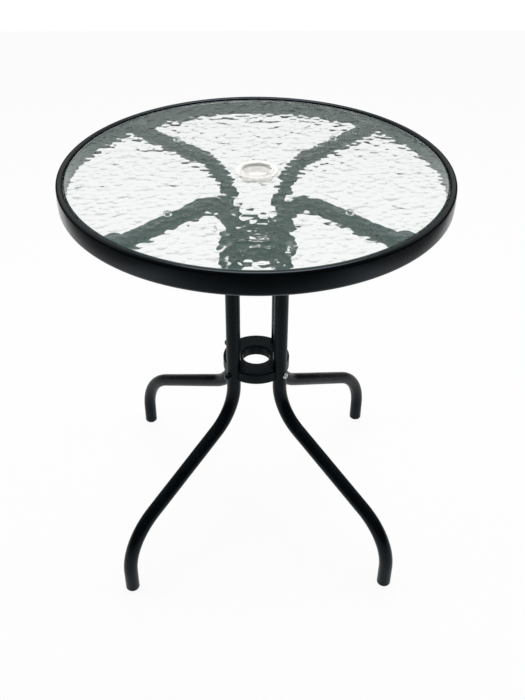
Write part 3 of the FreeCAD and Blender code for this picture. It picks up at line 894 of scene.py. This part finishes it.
@dataclass
class Rim:
    """Rolled steel ring round the glass, with its four screwed tabs."""

    width: float = 0.011
    edge: float = 0.0045
    edge_segments: int = 10
    crown: float = 0.0006
    crown_reach: float = 0.68
    crown_points: int = 7
    steps: int = 288
    tab_length: float = 0.026
    tab_half_width: float = 0.013
    tab_corner: float = 0.0125
    tab_hole: float = 0.00305
    tab_softening: float = 0.0004
    tab_segments: int = 8
    drill_sides: int = 32
    cutter_share: float = 3.0
    screw_inset: float = 0.013

    def __post_init__(self) -> None:
        """Take the outline from the frame."""
        low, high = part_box("rim")
        self.radius = min(high.x, high.y, -low.x, -low.y)
        self.bottom = low.z
        self.top = high.z
        self.inside = self.radius - self.width
        tab_low, tab_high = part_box("rear_right_rim_tab")
        self.tab_bottom = tab_low.z
        self.tab_top = tab_high.z

    def build(self, finishes: Finishes) -> None:
        """Model the ring and the tabs.

        Args:
            finishes: The table's materials.
        """
        hand_over(self.model_ring(), finishes.rim, Body.BASE, Slot.RIM_PAINT, "rim")
        copy_to_corners(self.model_tab(), "tab_plate", finishes.tab, Slot.TAB_PAINT, "rim_tab")

    def model_ring(self) -> Piece:
        """Spin the rounded section, with its faintly crowned flank, once round the table.

        Returns:
            The ring.
        """
        corners = [(self.inside, self.bottom), (self.radius - self.crown, self.bottom),
                   (self.radius - self.crown, self.top), (self.inside, self.top)]
        middle, half = (self.top + self.bottom) / 2, (self.top - self.bottom) / 2
        flank = []
        for number in range(self.crown_points):
            level = self.crown_reach * (2 * number / (self.crown_points - 1) - 1)
            flank.append((self.radius - self.crown * level ** 2, middle + half * level))
        piece = draw_profile("rim_ring", corners[:2] + flank + corners[2:], closed=True)
        for corner in corners:
            round_corner(piece, corner, self.edge, self.edge_segments)
        spin_round(self.steps)
        smooth(piece)
        return piece

    def model_tab(self) -> Piece:
        """Shape one tab from a plate: round its nose, trim its root to the rim and drill it.

        Returns:
            The tab, lying along +X.
        """
        thickness = self.tab_top - self.tab_bottom
        middle = (self.tab_top + self.tab_bottom) / 2
        nose = self.inside - self.tab_length
        deselect_all()
        bpy.ops.mesh.primitive_cube_add(size=1, location=(self.inside, 0, middle))
        piece = bpy.context.object
        piece.name = "tab_plate"
        piece.scale = (self.tab_length * 2, self.tab_half_width * 2, thickness)
        settle(piece)
        open_mesh(piece, "EDGE")
        pick(piece, "EDGE", lambda at: abs(at.x - nose) < WELD_DISTANCE
             and abs(at.z - middle) < WELD_DISTANCE)
        bpy.ops.mesh.bevel(offset=self.tab_corner, segments=self.tab_segments, affect="EDGES")
        close_mesh()
        depth = thickness * self.cutter_share
        trimmer = add_cylinder(self.inside, depth, (0, 0, middle), self.steps)
        combine(piece, trimmer, "INTERSECT")
        screw_at = self.inside - self.screw_inset
        drill = add_cylinder(self.tab_hole, depth, (screw_at, 0, middle), self.drill_sides)
        combine(piece, drill, "DIFFERENCE")
        soften_edges(piece, self.tab_softening)
        smooth(piece)
        return piece


@dataclass
class GlassTop:
    """Tempered glass with a pebbled underside, a polished hole and an edge that reaches over the gap
    to the rim, where its material paints that gap's shade.
    """

    hole_radius: float = 0.026
    edge: float = 0.0015
    hole_edge: float = 0.0008
    flat_margin: float = 0.0004
    under_rings: int = 104
    steps: int = 720
    pebble_size: float = 0.0125
    pebble_depth: float = 0.0009
    # The glass reaches this far past the frame's edge, over the gap to the rim, which its material
    # darkens with painted shade.
    shaded_gap_fill: float = 0.0012
    still_margin: float = 0.004
    shade_angle: float = math.radians(40)

    def __post_init__(self) -> None:
        """Take the outline from the frame."""
        low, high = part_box("glass_top")
        self.radius = high.x + self.shaded_gap_fill
        self.bottom = low.z
        self.top = high.z

    def build(self, finishes: Finishes) -> None:
        """Model the glass.

        Args:
            finishes: The table's materials.
        """
        piece = self.model_disc()
        self.press_pebbles(piece)
        smooth(piece, self.shade_angle)
        hand_over(piece, finishes.glass, Body.GLASS, Slot.PEBBLED_GLASS, "glass_top")

    def model_disc(self) -> Piece:
        """Spin the section of the glass once round the hole.

        Returns:
            The disc, with a finely divided underside.
        """
        hole, rim = self.hole_radius, self.radius
        inner_flat = hole + self.hole_edge + self.flat_margin
        outer_flat = rim - self.edge - self.flat_margin
        corners = [(hole, self.bottom), (rim, self.bottom), (rim, self.top), (hole, self.top)]
        outline = [corners[0], (inner_flat, self.bottom), (outer_flat, self.bottom), corners[1],
                   corners[2], (outer_flat, self.top), (inner_flat, self.top), corners[3]]
        piece = draw_profile("glass_disc", outline, closed=True)
        for corner in corners:
            at_hole = corner[0] == hole
            round_corner(piece, corner, self.hole_edge if at_hole else self.edge,
                         3 if at_hole else 5)
        middle = (inner_flat + outer_flat) / 2
        pick(piece, "EDGE", lambda at: abs(at.x - middle) < 0.001
             and abs(at.z - self.bottom) < WELD_DISTANCE)
        bpy.ops.mesh.subdivide(number_cuts=self.under_rings)
        spin_round(self.steps)
        return piece

    def press_pebbles(self, piece: Piece) -> None:
        """Press the pebbled pattern into the underside, flat near the hole and the edge.

        Args:
            piece: The disc.
        """
        group = piece.vertex_groups.new(name="underside")
        inner = self.hole_radius + self.hole_edge + self.flat_margin
        outer = self.radius - self.edge - self.flat_margin
        for vertex in piece.data.vertices:
            if abs(vertex.co.z - self.bottom) > WELD_DISTANCE:
                continue
            reach = math.hypot(vertex.co.x, vertex.co.y)
            share = min((reach - inner) / self.still_margin, (outer - reach) / self.still_margin, 1)
            if share > 0:
                group.add([vertex.index], share, "REPLACE")
        pebbles = bpy.data.textures.new("pebbles", "VORONOI")
        pebbles.noise_scale = self.pebble_size
        pebbles.distance_metric = "DISTANCE_SQUARED"
        apply_modifier(piece, "DISPLACE", texture=pebbles, direction="Z", mid_level=0.0,
                       strength=self.pebble_depth, vertex_group=group.name,
                       texture_coords="LOCAL")
        piece.vertex_groups.clear()


@dataclass
class HoleRing:
    """Clear plastic ring that lines the umbrella hole."""

    bore: float = 0.022
    sleeve: float = 0.0255
    flange_edge: float = 0.0012
    mouth_edge: float = 0.001
    lip_width: float = 0.0032
    lip_drop: float = 0.0007
    lip_slope: float = 0.0006
    lip_edge: float = 0.0003
    foot_inner_edge: float = 0.0005
    foot_outer_edge: float = 0.0008
    seat_gap: float = 0.0001
    steps: int = 160

    def __post_init__(self) -> None:
        """Take the outline from the frame."""
        low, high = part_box("hole_ring")
        self.flange = high.x
        self.bottom = low.z
        self.top = high.z
        self.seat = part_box("glass_top")[1].z + self.seat_gap

    def build(self, finishes: Finishes) -> None:
        """Model the ring.

        Args:
            finishes: The table's materials.
        """
        bead = self.bore + self.lip_width
        low_top = self.top - self.lip_drop
        outline = [(self.bore, self.bottom), (self.sleeve, self.bottom), (self.sleeve, self.seat),
                   (self.flange, self.seat), (self.flange, low_top), (bead + self.lip_slope, low_top),
                   (bead, self.top), (self.bore, self.top)]
        piece = draw_profile("hole_collar", outline, closed=True)
        round_corner(piece, (self.flange, low_top), self.flange_edge, 5)
        round_corner(piece, (self.bore, self.top), self.mouth_edge, 5)
        round_corner(piece, (bead, self.top), self.lip_edge, 2)
        round_corner(piece, (self.bore, self.bottom), self.foot_inner_edge, 2)
        round_corner(piece, (self.sleeve, self.bottom), self.foot_outer_edge, 3)
        spin_round(self.steps)
        smooth(piece)
        hand_over(piece, finishes.ring, Body.RING, Slot.CLEAR_RING, "hole_ring")


@dataclass
class Legs:
    """Four bent steel tubes with their foot glides."""

    tube_radius: float = 0.012
    tube_wall: float = 0.0012
    tube_sides: int = 48
    end_depth: float = 0.012
    arm_end_gap: float = 0.00035
    shoulder_bend: float = 0.060
    upright_distance: float = 0.0562
    hip_bend: float = 0.0905
    slope: float = math.radians(60.9)
    ankle_bend: float = 0.1185
    foot_distance: float = 0.317
    ankle_height: float = 0.0425
    glide_edge: float = 0.0045
    glide_fit: float = 0.0002
    glide_shoulder: float = 0.0004
    glide_stem_edge: float = 0.001
    glide_steps: int = 64
    bend_step: float = math.radians(4.5)

    def __post_init__(self) -> None:
        """Take the levels from the frame."""
        low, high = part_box("rear_right_leg")
        self.arm_level = high.z - self.tube_radius
        self.tube_end = low.z
        glide_low, glide_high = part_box("rear_right_foot_glide")
        self.floor = glide_low.z
        self.stem_top = glide_high.z

    def build(self, finishes: Finishes, rim: Rim) -> None:
        """Model one leg and one glide, and copy them to the four corners.

        Args:
            finishes: The table's materials.
            rim: The rim that the arms end at.
        """
        leg = self.model_leg(rim.inside - self.arm_end_gap)
        copy_to_corners(leg, "leg_tube", finishes.leg, Slot.LEG_PAINT, "leg")
        copy_to_corners(self.model_glide(), "glide_plug", finishes.glide, Slot.GLIDE_PLASTIC,
                        "foot_glide")

    def run(self, along: tuple[float, float, float]) -> None:
        """Draw the open end of the tube out in a straight line."""
        bpy.ops.mesh.extrude_region_move(TRANSFORM_OT_translate={"value": along})

    def bend(self, centre: Point, angle: float, axis: float) -> None:
        """Draw the open end of the tube round a bend.

        Args:
            centre: Distance and height of the bend's centre.
            angle: How far it turns, in radians.
            axis: 1 if the bend's centre lies below or outside, -1 if it lies inside.
        """
        steps = math.ceil(angle / self.bend_step)
        bpy.ops.mesh.spin(steps=steps, angle=angle, center=(centre[0], 0, centre[1]),
                          axis=(0, axis, 0), use_auto_merge=False)

    def model_leg(self, arm_end: float) -> Piece:
        """Draw a circle along the arm, down the upright, along the slope and into the foot.

        Args:
            arm_end: Distance from the axis to the end of the arm.

        Returns:
            The leg, lying along +X.
        """
        shoulder_x = self.upright_distance + self.shoulder_bend
        shoulder_z = self.arm_level - self.shoulder_bend
        spare = 1 - math.cos(self.slope)
        bends = self.hip_bend + self.ankle_bend
        slope_run = ((self.foot_distance - self.upright_distance - bends * spare)
                     / math.sin(self.slope))
        ankle_z = self.ankle_height + self.ankle_bend * math.sin(self.slope)
        hip_z = (ankle_z + slope_run * math.cos(self.slope)
                 + self.hip_bend * math.sin(self.slope))
        deselect_all()
        bpy.ops.mesh.primitive_circle_add(vertices=self.tube_sides, radius=self.tube_radius,
                                          location=(arm_end, 0, self.arm_level),
                                          rotation=(0, math.pi / 2, 0))
        piece = bpy.context.object
        piece.name = "leg_tube"
        settle(piece)
        open_mesh(piece)
        bpy.ops.mesh.select_all(action="SELECT")
        self.run((shoulder_x - arm_end, 0, 0))
        self.bend((shoulder_x, shoulder_z), math.pi / 2, 1)
        self.run((0, 0, hip_z - shoulder_z))
        self.bend((self.upright_distance + self.hip_bend, hip_z), self.slope, 1)
        self.run((slope_run * math.sin(self.slope), 0, -slope_run * math.cos(self.slope)))
        self.bend((self.foot_distance - self.ankle_bend, self.ankle_height), self.slope, -1)
        self.run((0, 0, self.tube_end - self.ankle_height))
        self.open_end(piece, lambda at: abs(at.z - self.tube_end) < WELD_DISTANCE,
                      (0, 0, self.end_depth))
        self.open_end(piece, lambda at: abs(at.x - arm_end) < WELD_DISTANCE,
                      (-self.end_depth, 0, 0))
        close_mesh()
        smooth(piece)
        return piece

    def open_end(self, piece: Piece, wanted: Callable[[Vector], bool],
                 inwards: tuple[float, float, float]) -> None:
        """Give one end of the tube its wall and the start of its bore.

        Args:
            piece: The tube, open in edit mode.
            wanted: Picks the edges of the end.
            inwards: How far the bore is drawn in.
        """
        pick(piece, "EDGE", wanted)
        bpy.ops.mesh.edge_face_add()
        bpy.ops.mesh.select_mode(type="FACE")
        bpy.ops.mesh.inset(thickness=self.tube_wall, depth=0)
        self.run(inwards)

    def model_glide(self) -> Piece:
        """Spin the plug with its domed head and move it out under the foot.

        Returns:
            The glide, under a leg that lies along +X.
        """
        head_top = self.tube_end
        stem = self.tube_radius - self.tube_wall - self.glide_fit
        foot = self.tube_radius
        outline = [(0, self.floor), (foot, self.floor), (foot, head_top), (stem, head_top),
                   (stem, self.stem_top), (0, self.stem_top)]
        piece = draw_profile("glide_plug", outline, closed=False)
        round_corner(piece, (foot, self.floor), self.glide_edge, 8)
        round_corner(piece, (foot, head_top), self.glide_shoulder, 2)
        round_corner(piece, (stem, self.stem_top), self.glide_stem_edge, 3)
        spin_round(self.glide_steps)
        piece.location.x = self.foot_distance
        settle(piece)
        smooth(piece)
        return piece


@dataclass
class Hubs:
    """Two moulded hubs between the uprights, with their bores, notches and hollows."""

    bore: float = 0.025
    bore_bevel: float = 0.002
    crown: float = 0.003
    foot: float = 0.0012
    notch_fit: float = 0.0001
    wall: float = 0.005
    roof: float = 0.006
    hollow_half_angle: float = math.radians(19.0)
    hollow_steps: int = 10
    cutter_sides: int = 72
    steps: int = 160
    softening: float = 0.0004

    def __post_init__(self) -> None:
        """Take the outline of the lower hub from the frame."""
        low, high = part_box(Level.LOWER.node)
        self.radius = high.x
        self.bottom = low.z
        self.top = high.z

    def build(self, finishes: Finishes, legs: Legs) -> None:
        """Model the lower hub and copy it to the upper one's place.

        Args:
            finishes: The table's materials.
            legs: The legs that lie in the notches.
        """
        outline = [(self.bore, self.bottom + self.bore_bevel),
                   (self.bore + self.bore_bevel, self.bottom), (self.radius, self.bottom),
                   (self.radius, self.top), (self.bore + self.bore_bevel, self.top),
                   (self.bore, self.top - self.bore_bevel)]
        piece = draw_profile("lower_hub_moulding", outline, closed=True)
        round_corner(piece, (self.radius, self.top), self.crown, 6)
        round_corner(piece, (self.radius, self.bottom), self.foot, 3)
        spin_round(self.steps)
        for corner in Corner:
            combine(piece, self.notch_cutter(corner, legs), "DIFFERENCE")
            combine(piece, self.hollow_cutter(corner), "DIFFERENCE")
        soften_edges(piece, self.softening)
        smooth(piece)
        upper = copy_round(piece, "upper_hub_moulding", 0.0)
        upper.location.z = Level.UPPER.height - Level.LOWER.height
        settle(upper)
        for moulding, level in ((piece, Level.LOWER), (upper, Level.UPPER)):
            hand_over(moulding, finishes.hub, Body.BASE, Slot.HUB_PLASTIC, level.node)

    def notch_cutter(self, corner: Corner, legs: Legs) -> Piece:
        """Make the round bar that cuts one notch."""
        reach = legs.upright_distance
        spot = (reach * math.cos(corner.azimuth), reach * math.sin(corner.azimuth),
                (self.top + self.bottom) / 2)
        return add_cylinder(legs.tube_radius + self.notch_fit, (self.top - self.bottom) * 2, spot,
                            self.cutter_sides)

    def hollow_cutter(self, corner: Corner) -> Piece:
        """Spin the block that hollows the underside between two notches."""
        inner = self.bore + self.bore_bevel + self.wall
        outer = self.radius - self.wall
        ceiling = self.top - self.roof
        below = self.bottom - self.roof
        cutter = draw_profile("hollow_cutter", [(inner, below), (outer, below), (outer, ceiling),
                                                (inner, ceiling)], closed=True)
        bpy.ops.mesh.select_all(action="SELECT")
        bpy.ops.mesh.edge_face_add()
        bpy.ops.mesh.spin(steps=self.hollow_steps, angle=self.hollow_half_angle * 2,
                          center=(0, 0, 0), axis=(0, 0, 1), use_auto_merge=False)
        close_mesh()
        cutter.rotation_euler.z = corner.azimuth + math.pi / 4 - self.hollow_half_angle
        settle(cutter)
        return cutter


@dataclass
class Bumpers:
    """Clear soft discs that carry the glass on the arms."""

    distance: float = 0.1805
    edge: float = 0.001
    dimple_radius: float = 0.0034
    dimple_depth: float = 0.0009
    dimple_edge: float = 0.0004
    stem: float = 0.0024
    steps: int = 48

    def __post_init__(self) -> None:
        """Take the levels from the frame."""
        low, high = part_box("rear_right_bumper")
        self.radius = (high.x - low.x) / 2
        self.stem_bottom = low.z
        self.top = high.z
        self.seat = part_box("rear_right_leg")[1].z

    def build(self, finishes: Finishes) -> None:
        """Model one bumper and copy it to the four arms.

        Args:
            finishes: The table's materials.
        """
        outline = [(0, self.stem_bottom), (self.stem, self.stem_bottom), (self.stem, self.seat),
                   (self.radius, self.seat), (self.radius, self.top),
                   (self.dimple_radius, self.top), (self.dimple_radius * 0.5,
                                                    self.top - self.dimple_depth * 0.8),
                   (0, self.top - self.dimple_depth)]
        model = draw_profile("bumper_disc", outline, closed=False)
        round_corner(model, (self.radius, self.top), self.edge, 4)
        round_corner(model, (self.dimple_radius, self.top), self.dimple_edge, 2)
        spin_round(self.steps)
        model.location.x = self.distance
        settle(model)
        smooth(model)
        copy_to_corners(model, "bumper_disc", finishes.bumper, Slot.CLEAR_BUMPER, "bumper")


@dataclass
class Fasteners:
    """Bolts of both hubs with their covers, and the screws under the arms."""

    thread: float = 0.003
    bolt_head: float = 0.00525
    bolt_head_height: float = 0.0033
    bolt_head_edge: float = 0.0022
    bolt_reach: float = 0.013
    cover: float = 0.0064
    cover_height: float = 0.008
    cover_edge: float = 0.0054
    cover_hollow: float = 0.0054
    cover_grip: float = 0.004
    screw_head: float = 0.006
    screw_head_height: float = 0.0036
    screw_head_edge: float = 0.0018
    screw_tip_below: float = 0.0005
    screw_tip_edge: float = 0.0006
    bolt_tip_edge: float = 0.0008
    drive_width: float = 0.004
    drive_depth: float = 0.002
    softening: float = 0.00025
    steps: int = 64

    def build(self, finishes: Finishes, legs: Legs, rim: Rim) -> None:
        """Model one of each fastener and copy it to its places.

        Args:
            finishes: The table's materials.
            legs: The legs that they go through.
            rim: The rim whose tabs take the screws.
        """
        outside = legs.upright_distance + legs.tube_radius
        bolt = self.model_bolt(outside, legs)
        cover = self.model_cover(outside)
        screw = self.model_screw(legs, rim)
        for corner in Corner:
            copy = copy_round(screw, f"{corner.label}_rim_screw", corner.azimuth)
            hand_over(copy, finishes.screw, Body.BASE, Slot.BRIGHT_STEEL, "rim_screws")
            for level in Level:
                name = f"{corner.label}_{level.prefix}"
                copy = self.raise_copy(bolt, f"{name}hub_bolt", corner, level)
                hand_over(copy, finishes.steel, Body.BASE, Slot.BRIGHT_STEEL, "hub_bolts")
                if (corner, level) != BARE_BOLT:
                    copy = self.raise_copy(cover, f"{name}cover_cap", corner, level)
                    hand_over(copy, finishes.cover, Body.BASE, Slot.COVER_PLASTIC,
                              f"{name}bolt_cover")
        for model in (bolt, cover, screw):
            throw_away(model)

    @staticmethod
    def raise_copy(model: Piece, name: str, corner: Corner, level: Level) -> Piece:
        """Copy a fastener of the floor's level to a leg and up to a hub.

        Args:
            model: The fastener, lying along +X at no height.
            name: The name of the copy.
            corner: The leg that it goes to.
            level: The hub that it goes to.

        Returns:
            The copy, with its own mesh.
        """
        copy = copy_round(model, name, corner.azimuth)
        copy.location.z = level.height
        settle(copy)
        return copy

    def cut_drive(self, piece: Piece, face: float) -> None:
        """Cut a hexagon socket into a head that points along the Z axis.

        Args:
            piece: The fastener, on the Z axis.
            face: Height of the head's face.
        """
        across_corners = self.drive_width / math.sqrt(3)
        cutter = add_cylinder(across_corners, self.drive_depth * 2, (0, 0, face), HEXAGON_SIDES)
        combine(piece, cutter, "DIFFERENCE")
        soften_edges(piece, self.softening)
        smooth(piece)

    @staticmethod
    def lay_out(piece: Piece, outside: float) -> None:
        """Turn a fastener from the Z axis to +X and move it out to the leg's face."""
        piece.rotation_euler = (0, math.pi / 2, 0)
        piece.location = (outside, 0, 0)
        settle(piece)

    def model_bolt(self, outside: float, legs: Legs) -> Piece:
        """Spin the button-head bolt.

        Args:
            outside: Distance from the axis to the outside of the upright.
            legs: The legs whose tubes it goes through.

        Returns:
            The bolt, lying along +X.
        """
        shank = legs.tube_radius * 2 + self.bolt_reach
        head, height = self.bolt_head, self.bolt_head_height
        piece = draw_profile("hub_bolt", [(0, -shank), (self.thread, -shank), (self.thread, 0),
                                          (head, 0), (head, height), (0, height)], closed=False)
        round_corner(piece, (head, height), self.bolt_head_edge, 6)
        round_corner(piece, (self.thread, -shank), self.bolt_tip_edge, 2)
        spin_round(self.steps)
        self.cut_drive(piece, height)
        self.lay_out(piece, outside)
        return piece

    def model_cover(self, outside: float) -> Piece:
        """Spin the domed cover with the hollow that grips the bolt head.

        Args:
            outside: Distance from the axis to the outside of the upright.

        Returns:
            The cover, lying along +X.
        """
        outline = [(self.cover_hollow, 0), (self.cover, 0), (self.cover, self.cover_height),
                   (0, self.cover_height), (0, self.cover_grip),
                   (self.cover_hollow, self.cover_grip)]
        piece = draw_profile("cover_cap", outline[:4], closed=False)
        round_corner(piece, outline[2], self.cover_edge, 10)
        pick(piece, "VERT", lambda at: abs(at.x - self.cover_hollow) < WELD_DISTANCE
             and abs(at.z) < WELD_DISTANCE)
        rise = {"value": (0, 0, self.cover_grip)}
        bpy.ops.mesh.extrude_vertices_move(TRANSFORM_OT_translate=rise)
        inward = {"value": (-self.cover_hollow, 0, 0)}
        bpy.ops.mesh.extrude_vertices_move(TRANSFORM_OT_translate=inward)
        spin_round(self.steps)
        self.lay_out(piece, outside)
        smooth(piece)
        return piece

    def model_screw(self, legs: Legs, rim: Rim) -> Piece:
        """Spin the pan-head screw that holds a tab down on its arm.

        Args:
            legs: The legs whose arms it goes through.
            rim: The rim whose tab it is screwed into.

        Returns:
            The screw, under an arm that lies along +X.
        """
        seat = legs.arm_level - legs.tube_radius
        head, face = self.screw_head, seat - self.screw_head_height
        tip = rim.tab_top - self.screw_tip_below
        piece = draw_profile("rim_screw", [(0, face), (head, face), (head, seat),
                                           (self.thread, seat), (self.thread, tip), (0, tip)],
                             closed=False)
        round_corner(piece, (head, face), self.screw_head_edge, 6)
        round_corner(piece, (self.thread, tip), self.screw_tip_edge, 2)
        spin_round(self.steps)
        self.cut_drive(piece, face)
        piece.location.x = rim.inside - rim.screw_inset
        settle(piece)
        return piece


@dataclass
class Studio:
    """Camera, pale floor, soft lamps and a white room."""

    focal_pixels: float = 865.6
    frame_height: float = 700.0
    sensor: float = 36.0
    eye: tuple[float, float, float] = (-0.03, -1.2097, 1.2683)
    pitch: float = math.radians(36.99)
    turn: float = -0.0338
    roll: float = 0.0084
    floor_half_width: float = 2.2
    floor_front: float = -2.0
    lit_sides: tuple[float, float] = (1.05, 1.42)
    lit_front: tuple[float, float] = (-1.5, -0.3)
    floor_back: float = 3.0
    side_gloss: tuple[float, float] = (0.95, 0.06)
    front_gloss: tuple[float, float] = (0.04, 1.0)
    white_share: float = 0.9
    room_fill: float = 0.6
    room_behind: tuple[float, float, float, float] = (-0.35, 0.35, 0.05, 0.58)
    room_low: tuple[float, float, float, float] = (0.15, 0.42, 0.06, 1.0)
    room_overhead: tuple[float, float, float, float] = (0.55, 0.85, 1.0, 0.45)
    lamp_aim: tuple[float, float, float] = (0.0, 0.0, 0.45)

    def build(self) -> None:
        """Set up everything that isn't the table."""
        self.place_camera()
        self.lay_floor()
        self.light_world()
        self.hang_lamps()
        bpy.context.scene.view_settings.view_transform = "Standard"

    def place_camera(self) -> None:
        """Place the camera where the photograph was taken."""
        data = bpy.data.cameras.new("camera")
        data.sensor_width = self.sensor
        data.lens = self.focal_pixels * self.sensor / self.frame_height
        data.clip_end = 50
        camera = bpy.data.objects.new("camera", data)
        camera.location = self.eye
        aim = (Matrix.Rotation(self.turn, 3, "Z")
               @ Matrix.Rotation(math.pi / 2 - self.pitch, 3, "X")
               @ Matrix.Rotation(self.roll, 3, "Z"))
        camera.rotation_euler = aim.to_euler()
        bpy.context.scene.collection.objects.link(camera)
        bpy.context.scene.camera = camera

    def lay_floor(self) -> None:
        """Lay a pale floor that keeps soft shadows and can be looked through from below."""
        deselect_all()
        depth = self.floor_back - self.floor_front
        bpy.ops.mesh.primitive_plane_add(size=1, location=(0, self.floor_front + depth / 2, 0))
        floor = bpy.context.object
        floor.name = "floor"
        floor.scale = (self.floor_half_width * 2, depth, 1)
        settle(floor)
        floor.data.materials.append(self.floor_material())

    def floor_material(self) -> bpy.types.Material:
        """Make the floor: white to the camera, a plain pale surface to the lamps.

        Gloss shows it bright under and behind the table, and dark in front and at the sides.

        Returns:
            The material.
        """
        material, board, shader = start_material("pale_floor")
        shader.inputs["Base Color"].default_value = (0.88, 0.88, 0.88, 1)
        shader.inputs["Roughness"].default_value = 0.9
        shader.inputs["Specular IOR Level"].default_value = 0.1
        path = board.add("LightPath").outputs
        seen = board.maths("MAXIMUM", path["Is Camera Ray"], path["Is Transmission Ray"])
        spot = board.add("SeparateXYZ")
        board.join(board.add("TexCoord").outputs["Object"], spot.inputs[0])
        aside = board.maths("ABSOLUTE", spot.outputs["X"], 0.0)
        gloss = board.maths("MULTIPLY",
                            board.map_range(aside, *self.lit_sides, *self.side_gloss),
                            board.map_range(spot.outputs["Y"], *self.lit_front,
                                            *self.front_gloss))
        glow = board.add("Emission")
        glow.inputs["Color"].default_value = (1, 1, 1, 1)
        board.join(board.maths("MAXIMUM", seen, gloss), glow.inputs["Strength"])
        share = board.maths("MAXIMUM", board.maths("MULTIPLY", seen, self.white_share),
                            path["Is Glossy Ray"])
        top = board.blend_shaders(share, shader.outputs["BSDF"], glow.outputs["Emission"])
        through = board.add("BsdfTransparent").outputs["BSDF"]
        below = board.add("NewGeometry").outputs["Backfacing"]
        finish_material(board, board.blend_shaders(below, top, through))
        return material

    def light_world(self) -> None:
        """Make a white background and a soft room, dark in front, low down and overhead."""
        world = bpy.data.worlds.new("white_room")
        world.use_nodes = True
        world.node_tree.nodes.clear()
        board = Board(world.node_tree)
        path = board.add("LightPath").outputs
        way = board.add("SeparateXYZ")
        board.join(board.add("TexCoord").outputs["Generated"], way.inputs[0])
        behind = board.map_range(way.outputs["Y"], *self.room_behind)
        low = board.map_range(way.outputs["Z"], *self.room_low)
        overhead = board.map_range(way.outputs["Z"], *self.room_overhead)
        gloss = board.maths("MULTIPLY", behind, board.maths("MULTIPLY", low, overhead))
        soft = board.maths("MAXIMUM", board.maths("MULTIPLY", gloss, path["Is Glossy Ray"]),
                           board.maths("MULTIPLY", path["Is Diffuse Ray"], self.room_fill))
        seen = board.maths("MAXIMUM", path["Is Camera Ray"], path["Is Transmission Ray"])
        strength = board.maths("MAXIMUM", soft, seen)
        background = board.add("Background")
        background.inputs["Color"].default_value = (1, 1, 1, 1)
        board.join(strength, background.inputs["Strength"])
        board.join(background.outputs[0], board.add("OutputWorld").inputs["Surface"])
        bpy.context.scene.world = world

    def hang_lamps(self) -> None:
        """Hang a large soft lamp overhead and two at the sides, which gloss doesn't show."""
        lamps = (("top_lamp", (0.1, 0.5, 2.6), 1.4, 26.0), ("left_lamp", (-2.4, 0.3, 1.5), 1.2, 9.0),
                 ("right_lamp", (2.4, 0.3, 1.5), 1.2, 9.0))
        for name, place, width, power in lamps:
            data = bpy.data.lights.new(name, "AREA")
            data.shape = "SQUARE"
            data.size = width
            data.energy = power
            lamp = bpy.data.objects.new(name, data)
            lamp.location = place
            aim = Vector(self.lamp_aim) - Vector(place)
            lamp.rotation_euler = aim.to_track_quat("-Z", "Y").to_euler()
            lamp.visible_camera = False
            lamp.visible_transmission = False
            lamp.visible_glossy = name == "top_lamp"
            bpy.context.scene.collection.objects.link(lamp)


def main() -> None:
    """Build the table on its frame and set it in the studio."""
    logging.basicConfig(level=logging.INFO, format="%(message)s")
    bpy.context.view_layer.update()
    finishes = Finishes(Effects())
    rim = Rim()
    legs = Legs()
    rim.build(finishes)
    HoleRing().build(finishes)
    legs.build(finishes, rim)
    Hubs().build(finishes, legs)
    Bumpers().build(finishes)
    Fasteners().build(finishes, legs, rim)
    GlassTop().build(finishes)
    Studio().build()


if __name__ == "__main__":
    main()
